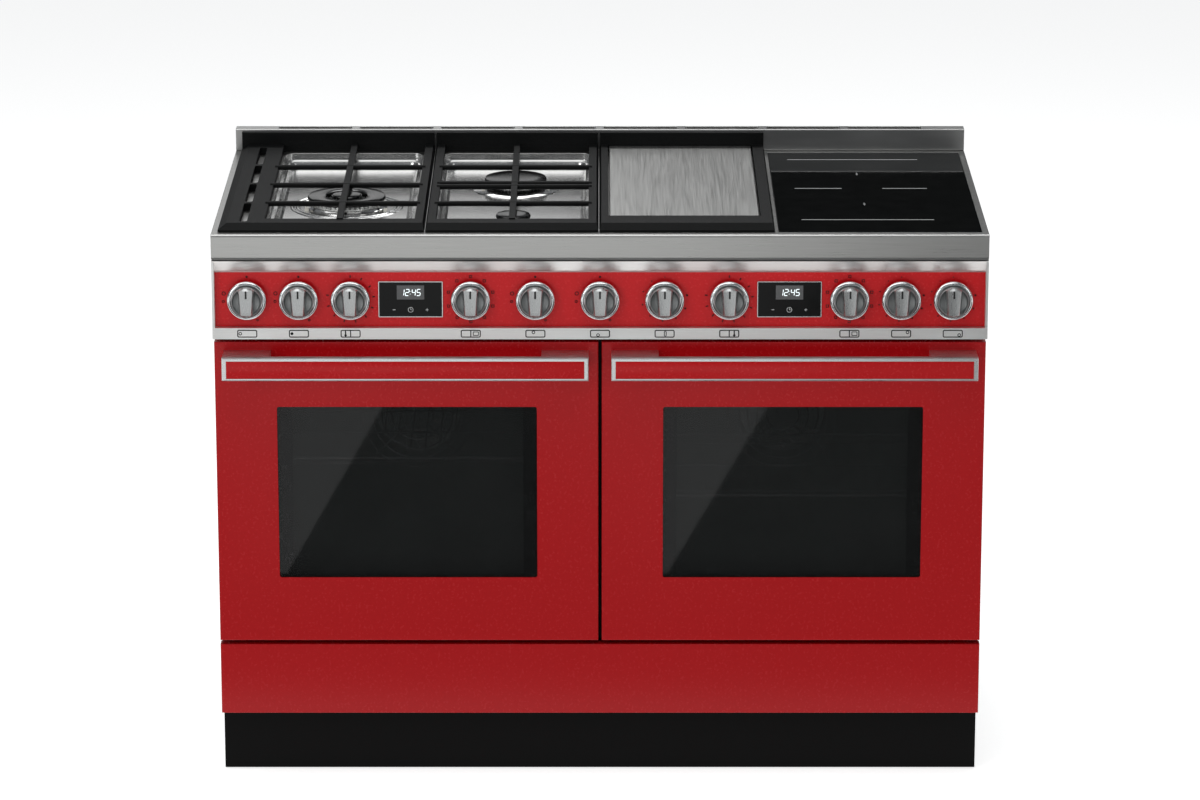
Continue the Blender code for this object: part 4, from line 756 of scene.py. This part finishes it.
BOWL_LOW = WELL_FLOOR - 0.0004
SEAT = 0.8730             # where the crowns stand on the bowls
CROWN_TOP = 0.8776
CAP_LOW = 0.8777
CAP_TOP = 0.8853
base_low, base_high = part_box("wok_burner_base")
bm = bmesh.new()
add_turned(bm, [(0.0640, BOWL_LOW), (0.0640, BOWL_LOW + 0.0022), (0.0600, BOWL_LOW + 0.0045),
                (0.0585, base_low.z + 0.0185), (0.030, base_low.z + 0.0185), (0.030, BOWL_LOW)],
           (*WOK, 0), steps=64, loop=True)
add_turned(bm, [(0.0240, BOWL_LOW), (0.0240, base_high.z - 0.006), (0.010, base_high.z - 0.006),
                (0.0005, base_high.z - 0.006)], (*WOK, 0), steps=40)
make_piece("wok_burner_bowl", bm, spun_steel, "range_body", ["wok_burner_base"])
bm = bmesh.new()
add_crown(bm, WOK, 0.8725, CROWN_TOP, 0.0605, 0.040, 48)
add_crown(bm, WOK, 0.8745, 0.8815, 0.0225, 0.012, 20)
make_piece("wok_burner_crowns", bm, cast_aluminium, "range_body")
for body, low, high, radius, hole in (("wok_outer_cap", CAP_LOW, CAP_TOP, 0.0625, 0.0322),
                                      ("wok_inner_cap", 0.8816, 0.8873, 0.0240, 0.0)):
    bm = bmesh.new()
    add_cap(bm, WOK, low, high, radius, hole)
    make_piece(body.replace("cap", "enamelled_cap"), bm, cap_enamel, body, [body])

for name, place, radius, bowl, slots in (("rear_burner", REAR_BURNER, 0.0510, 0.0710, 36),
                                         ("front_burner", FRONT_BURNER, 0.0275, 0.0465, 24)):
    bm = bmesh.new()
    crown = radius - 0.006
    add_turned(bm, [(bowl, BOWL_LOW), (bowl - 0.001, BOWL_LOW + 0.0016),
                    (bowl - 0.004, BOWL_LOW + 0.0026), ((bowl + crown) / 2, BOWL_LOW + 0.0042),
                    (crown + 0.003, BOWL_LOW + 0.0056), (crown + 0.0012, SEAT - 0.0006),
                    (crown - 0.003, SEAT), (0.0005, SEAT)],
               (*place, 0), steps=64)
    make_piece(name + "_bowl", bm, spun_steel, "range_body", [name + "_base"])
    bm = bmesh.new()
    add_crown(bm, place, 0.8728, CROWN_TOP, crown, crown - 0.014, slots)
    make_piece(name + "_crown", bm, cast_aluminium, "range_body")
    bm = bmesh.new()
    add_cap(bm, place, CAP_LOW, CAP_TOP, radius)
    make_piece(name + "_enamelled_cap", bm, cap_enamel, name + "_cap", [name + "_cap"])

# Spark plugs and flame sensors: a glazed ceramic sleeve round a bent steel pin.
sleeves = bmesh.new()
pins = bmesh.new()
for place, reach in ((WOK, 0.0690), (REAR_BURNER, 0.0575), (FRONT_BURNER, 0.0345)):
    for angle, height in ((math.radians(205), 0.010), (math.radians(335), 0.006)):
        x = place[0] + reach * math.cos(angle)
        y = place[1] + reach * math.sin(angle)
        add_turned(sleeves, [(0.0034, BOWL_LOW), (0.0034, 0.8685), (0.0026, 0.8700),
                             (0.0026, 0.8665 + height * 0.6)], (x, y, 0), steps=14)
        add_turned(pins, [(0.0011, 0.867), (0.0011, 0.8685 + height * 0.6),
                          (0.0004, 0.8690 + height * 0.6)], (x, y, 0), steps=8)
make_piece("spark_plug_sleeves", sleeves, white_ceramic, "range_body")
make_piece("spark_plug_pins", pins, electrode_steel, "range_body")


# Pan supports and griddle surround. They are sand-cast in iron and coated in a matt black enamel,
# which leaves the casting's fine grain in the surface and rounds every edge.
cast_iron = surface("matt_enamelled_cast_iron", "#080909", "#0F1010", {"Specular IOR Level": 0.1},
                    1.8, rough=(0.5, 0.62), bump=0.12, detail=5.0)
for node, piece in (("pan_support_left", "cast_grate_left"),
                    ("pan_support_middle", "cast_grate_middle"),
                    ("griddle_frame", "cast_griddle_surround")):
    smooth_copy(node, piece, cast_iron, 0.9, 2)


# Griddle. A plate of solid stainless steel, ground front to back, that lies in its surround.
ground_steel = brushed("ground_stainless_plate", "#B2B2B0", "#C4C4C2", (0.3, 0.38),
                       "Y", 1.3, 0.004)
smooth_copy("griddle_plate", "ground_griddle_plate", ground_steel, 1.2, 3)


# Induction hob. A pane of black glass ceramic, flush in the worktop, with pale printed lines that
# mark the two cooking zones.
black_ceramic = surface("black_glass_ceramic", "#131414", "#171818",
                        {"Specular IOR Level": 0.14}, 30.0, rough=(0.03, 0.06))
smooth_copy("induction_glass", "glass_ceramic_pane", black_ceramic, 0.5)
white_print = surface("fired_white_print", "#A9ABAB", "#C3C5C5", {"Roughness": 0.5}, 1.0)
GLASS_TOP = 0.8900
PRINT_TOP = GLASS_TOP + 0.0001
LINE_HALF = 0.0013
ZONE_LINES = [
    # left, right, setback
    (0.3065, 0.5185, 0.5088),
    (0.3110, 0.3860, 0.3070),
    (0.4510, 0.5220, 0.3070),
    (0.3140, 0.5205, 0.0980),
]
bm = bmesh.new()
for left, right, setback in ZONE_LINES:
    y = FRONT_FACE + setback
    add_block(bm, (left, y - LINE_HALF, GLASS_TOP), (right, y + LINE_HALF, PRINT_TOP))
for x, setback in ((0.4150, 0.4067), (0.4170, 0.2012)):
    y = FRONT_FACE + setback
    add_turned(bm, [(0.0020, GLASS_TOP), (0.0020, PRINT_TOP)], (x, y, 0), steps=16)
    add_block(bm, (x - 0.0004, y - 0.009, GLASS_TOP), (x + 0.0004, y + 0.009, PRINT_TOP))
make_piece("zone_lines", bm, white_print, "range_body")


# Control fascia. A brushed stainless steel channel with a sloping visor and a flat lower lip; a
# strip enamelled in the doors' red is bonded into it, and the knobs' marks are printed on both.
fascia_steel = brushed("brushed_stainless_fascia", "#EEEEEC", "#F4F4F2", (0.36, 0.4))
smooth_copy("control_fascia", "folded_fascia", fascia_steel, 0.5)
insert_red = red_finish("red_fascia_enamel", "#B80D14", "#BF1017")
dress(insert_red, "fascia_insert")
INSERT_FRONT = FRONT_FACE + 0.0100
LIP_FRONT = FRONT_FACE
PRINT = 0.00012           # thickness of the print
KNOB_Z = 0.78525
LOZENGE_Z = 0.7325
KNOB_X = (-0.546, -0.466, -0.386, -0.200, -0.100, 0.0, 0.100, 0.200, 0.386, 0.466, 0.546)
grey_print = surface("dark_grey_screen_print", "#0A0A0B", "#101112",
                     {"Roughness": 0.6, "Specular IOR Level": 0.2}, 1.0)
dark_print = surface("dark_red_screen_print", "#0B0304", "#120506",
                     {"Roughness": 0.5, "Specular IOR Level": 0.2}, 1.0)


def add_shape(bm, outline, face):
    """A flat printed shape on an upright face."""
    add_skin(bm, [[(x, face, z) for x, z in outline], [(x, face - PRINT, z) for x, z in outline]])


def add_dot(bm, x, z, radius, face):
    """A printed round dot."""
    add_shape(bm, rounded(radius, radius, radius * 0.999, (x, z), 4), face)


def add_dash(bm, x, z, length, thick, angle, face):
    """A printed dash at an angle."""
    c, s = math.cos(angle), math.sin(angle)
    add_shape(bm, [(x + a * c - b * s, z + a * s + b * c) for a, b in
                   ((-length / 2, -thick / 2), (length / 2, -thick / 2),
                    (length / 2, thick / 2), (-length / 2, thick / 2))], face)


def add_hoop(bm, x, z, radius, thick, face):
    """A printed ring."""
    add_band(bm, rounded(radius, radius, radius * 0.999, (x, z), 5),
             rounded(radius - thick, radius - thick, (radius - thick) * 0.999, (x, z), 5),
             face - PRINT, face)


# A lozenge under each knob shows a plan of the hob or an oven's sign.
LOZENGE = (0.0155, 0.0062)
bm = bmesh.new()
for index, x in enumerate(KNOB_X, 1):
    add_band(bm, rounded(*LOZENGE, 0.0028, (x, LOZENGE_Z)),
             rounded(LOZENGE[0] - 0.0016, LOZENGE[1] - 0.0016, 0.0014, (x, LOZENGE_Z)),
             LIP_FRONT - PRINT, LIP_FRONT)
    if index in (3, 4, 8, 9):
        add_dash(bm, x, LOZENGE_Z, 0.0100, 0.0016, math.pi / 2, LIP_FRONT)
    if index in (3, 8):
        sign = -1 if index == 3 else 1
        add_dash(bm, x + sign * 0.0078, LOZENGE_Z + 0.001, 0.0070, 0.0019, math.pi / 2, LIP_FRONT)
        add_dot(bm, x + sign * 0.0078, LOZENGE_Z - 0.0027, 0.0019, LIP_FRONT)
    if index in (4, 9):
        add_band(bm, rounded(0.0045, 0.0034, 0.001, (x + 0.0078, LOZENGE_Z)),
                 rounded(0.0034, 0.0023, 0.0005, (x + 0.0078, LOZENGE_Z)),
                 LIP_FRONT - PRINT, LIP_FRONT)
    mark = {1: (-0.0108, 0.0), 5: (-0.003, 0.0022), 6: (-0.003, -0.0022),
            10: (0.0100, 0.0022), 11: (0.0100, -0.0022)}.get(index)
    if mark:
        add_hoop(bm, x + mark[0], LOZENGE_Z + mark[1], 0.0027, 0.0012, LIP_FRONT)
    if index == 2:
        add_dot(bm, x - 0.0108, LOZENGE_Z, 0.0023, LIP_FRONT)
    if index == 7:
        add_band(bm, rounded(0.0021, 0.0044, 0.0020, (x + 0.001, LOZENGE_Z)),
                 rounded(0.0008, 0.0034, 0.0007, (x + 0.001, LOZENGE_Z)),
                 LIP_FRONT - PRINT, LIP_FRONT)
make_piece("lozenge_prints", bm, grey_print, "range_body")


def on_scale(x, degrees, radius):
    """A place so many degrees clockwise from the top of a knob, as (x, z)."""
    turn = math.radians(90 - degrees)
    return x + radius * math.cos(turn), KNOB_Z + radius * math.sin(turn)


# Round each knob a scale is printed: dashes for an oven's heat, small squares for its programmes,
# growing dots for the electric zones, and an off dot with flame signs for a burner.
bm = bmesh.new()
for index, x in enumerate(KNOB_X, 1):
    if index in (3, 8):
        for degrees in range(0, 281, 28):
            add_dash(bm, *on_scale(x, degrees, 0.0362), 0.0042, 0.0018,
                     math.radians(90 - degrees), INSERT_FRONT)
    elif index in (4, 9):
        for k in range(10):
            mark = on_scale(x, 36 * k, 0.0360)
            add_band(bm, rounded(0.0024, 0.0024, 0.0005, mark),
                     rounded(0.0013, 0.0013, 0.0002, mark), INSERT_FRONT - PRINT, INSERT_FRONT)
    elif index in (7, 10, 11):
        for k in range(9):
            add_dot(bm, *on_scale(x, -35 * k, 0.0352), 0.0009 + 0.0001 * k, INSERT_FRONT)
    else:
        add_dot(bm, *on_scale(x, 0, 0.0355), 0.0018, INSERT_FRONT)
        for degrees, size in ((-76, 0.0032), (-96, 0.0024), (-205, 0.0021)):
            add_hoop(bm, *on_scale(x, degrees, 0.0370), size, 0.0012, INSERT_FRONT)
make_piece("knob_scale_prints", bm, dark_print, "range_body")


# Programmers. A pane of black glass in a thin polished frame stands in front of each oven's clock;
# its grey display shows the time in seven-segment digits, over three touch signs.
display_glass = surface("black_display_glass", "#050606", "#0A0B0B",
                        {"Specular IOR Level": 0.15}, 20.0, rough=(0.12, 0.18))
lcd_film = surface("grey_display_film", "#4B4C4D", "#58595A", {"Roughness": 0.5}, 1.5)
pale_segments = surface("lit_display_segments", "#E4EEF0", "#F2F8F9",
                        {"Emission Color": linear("#DCE8EA"), "Emission Strength": 0.7}, 1.0)
bright_trim = surface("polished_steel_trim", "#B4B5B5", "#CDCECE", {"Metallic": 1.0}, 3.0,
                      rough=(0.15, 0.25))
SEGMENTS = {"1": "bc", "2": "abged", "4": "fgbc", "5": "afgcd"}


def add_digit(bm, digit, x, z, face):
    """One seven-segment digit, its lower left corner at (x, z)."""
    wide, tall, thick, lean = 0.0052, 0.0100, 0.0012, 0.12
    bars = {"a": (0.5, 1.0, 0), "g": (0.5, 0.5, 0), "d": (0.5, 0.0, 0), "f": (0.0, 0.75, 1),
            "b": (1.0, 0.75, 1), "e": (0.0, 0.25, 1), "c": (1.0, 0.25, 1)}
    for name in SEGMENTS[digit]:
        u, v, upright = bars[name]
        cx, cz = x + u * wide, z + v * tall
        a, b = (thick / 2, tall / 4 - 0.0003) if upright else (wide / 2 - 0.0003, thick / 2)
        add_shape(bm, [(cx + da * a + lean * (cz + dz * b - z), cz + dz * b)
                       for da, dz in ((-1, -1), (1, -1), (1, 1), (-1, 1))], face)


for side, sign in SIDES:
    smooth_copy("display_" + side, "programmer_glass_" + side, display_glass, 0.4)
    low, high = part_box("display_" + side)
    face = low.y
    x = (low.x + high.x) / 2
    z = (low.z + high.z) / 2
    half, tall = (high.x - low.x) / 2, (high.z - low.z) / 2
    bm = bmesh.new()
    add_band(bm, rounded(half + 0.0012, tall + 0.0012, 0.0012, (x, z)),
             rounded(half + 0.00005, tall + 0.00005, 0.0004, (x, z)),
             face + 0.0004, INSERT_FRONT + 0.0002)
    make_piece("programmer_trim_" + side, bm, bright_trim, "range_body")
    bm = bmesh.new()
    add_shape(bm, rounded(0.0212, 0.0112, 0.0004, (x, z + 0.0112)), face)
    make_piece("display_film_" + side, bm, lcd_film, "range_body")
    bm = bmesh.new()
    for digit, shift in (("1", -0.0158), ("2", -0.0082), ("4", 0.0018), ("5", 0.0094)):
        add_digit(bm, digit, x + shift, z + 0.0062, face - PRINT)
    for up in (0.0025, 0.0070):
        add_dot(bm, x - 0.0005, z + 0.0062 + up, 0.0006, face - PRINT)
    make_piece("clock_digits_" + side, bm, pale_segments, "range_body")
    bm = bmesh.new()
    add_dash(bm, x - 0.0255, z - 0.0165, 0.0042, 0.0009, 0, face)
    add_hoop(bm, x, z - 0.0165, 0.0042, 0.0007, face)
    add_dash(bm, x, z - 0.0152, 0.0026, 0.0007, math.pi / 2, face)
    add_dash(bm, x + 0.0011, z - 0.0165, 0.0022, 0.0007, 0, face)
    add_dash(bm, x + 0.0255, z - 0.0165, 0.0042, 0.0009, 0, face)
    add_dash(bm, x + 0.0255, z - 0.0165, 0.0042, 0.0009, math.pi / 2, face)
    make_piece("touch_signs_" + side, bm, white_print, "range_body")


# Knobs. Each is die-cast zinc under bright chrome: a turned outer ring, a satin face recessed in
# it, and a tapered grip bar across the face with a black line for a pointer.
bright_chrome = surface("bright_chrome_plating", "#D9DBDC", "#E6E8E9", {"Metallic": 1.0}, 3.0,
                        rough=(0.12, 0.2))
satin_chrome = surface("satin_chrome_plating", "#9A9C9C", "#A6A8A8", {"Metallic": 1.0}, 1.2,
                       rough=(0.4, 0.46))
grip_chrome = surface("brushed_chrome_grip", "#ACAEAE", "#BABCBC", {"Metallic": 1.0}, 1.0,
                      (1, 1, 20), (0.24, 0.32))
pointer_black = surface("black_pointer_lacquer", "#0A0A0A", "#141414", {"Roughness": 0.4}, 1.0)

ring = bmesh.new()
add_turned(ring, [(0.0296, 0.0050), (0.0306, 0.0042), (0.0310, 0.0025), (0.0310, 0.0000),
                  (0.0307, -0.0018), (0.0299, -0.0034), (0.0287, -0.0045), (0.0272, -0.0050),
                  (0.0262, -0.0049), (0.0254, -0.0043), (0.0250, -0.0030), (0.0248, 0.0005),
                  (0.0238, 0.0005)], (0, 0, 0), "Y", 64)
face = bmesh.new()
add_turned(face, [(0.0240, 0.0010), (0.0240, -0.0092), (0.0238, -0.0104), (0.0232, -0.0112),
                  (0.0224, -0.0113), (0.0217, -0.0106), (0.0213, -0.0092), (0.0204, -0.0076),
                  (0.0180, -0.0066), (0.0120, -0.0060), (0.0005, -0.0060)], (0, 0, 0), "Y", 64)
GRIP_FRONT = -0.0190
GRIP_BACK = -0.0058
grip = bmesh.new()
rings = []
for k in range(15):
    z = -0.0229 + 0.0458 * k / 14
    reach = math.sqrt(max(0.0236 ** 2 - z * z, 1e-9))
    half = min(0.0085 + 0.0030 * (k / 14), reach)
    fall = max(0.0, (abs(z) - 0.0190) / 0.0039) ** 2
    front = GRIP_FRONT + 0.0042 * fall
    rings.append([(-half - 0.0030, GRIP_BACK, z), (-half - 0.0012, front + 0.0050, z),
                  (-half + 0.0002, front + 0.0012, z), (-half + 0.0012, front, z),
                  (0.0, front + 0.0005, z),
                  (half - 0.0012, front, z), (half - 0.0002, front + 0.0012, z),
                  (half + 0.0012, front + 0.0050, z), (half + 0.0030, GRIP_BACK, z)])
add_skin(grip, rings)
pointer = bmesh.new()
add_block(pointer, (-0.0014, GRIP_FRONT - 0.0001, 0.0075),
          (0.0014, GRIP_FRONT + 0.0012, 0.0196), 0.2)

# All the knobs use the same four meshes.
ring_mesh = finish_mesh("knob_ring", ring, bright_chrome)
face_mesh = finish_mesh("knob_face", face, satin_chrome)
grip_mesh = finish_mesh("knob_grip", grip, grip_chrome)
pointer_mesh = finish_mesh("knob_pointer", pointer, pointer_black)
knob_nodes = sorted(n for n in frame["nodes"] if n.startswith("knob_"))
for node, x in zip(knob_nodes, KNOB_X):
    number = node[:7]         # knob_01 to knob_11, which are also the bodies' names
    place = (x, FRONT_FACE, KNOB_Z)
    set_piece(number + "_ring", ring_mesh, number, [node], place)
    set_piece(number + "_face", face_mesh, number, (), place)
    set_piece(number + "_grip", grip_mesh, number, (), place)
    set_piece(number + "_pointer", pointer_mesh, number, (), place)


# Gas rail and valve spindles, behind the fascia: an aluminium tube with brass valves.
rail_aluminium = surface("drawn_aluminium_tube", "#9A9D9E", "#B0B3B4", {"Metallic": 1.0}, 2.0,
                         (20, 1, 1), (0.3, 0.4))
dress(rail_aluminium, "gas_manifold")
dress(brass, "spindle_01_wok_outer", "spindle_02_wok_inner", "spindle_05_rear_burner",
      "spindle_06_front_burner")


# The bounds of what is shown, leaving out the studio.
low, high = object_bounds()
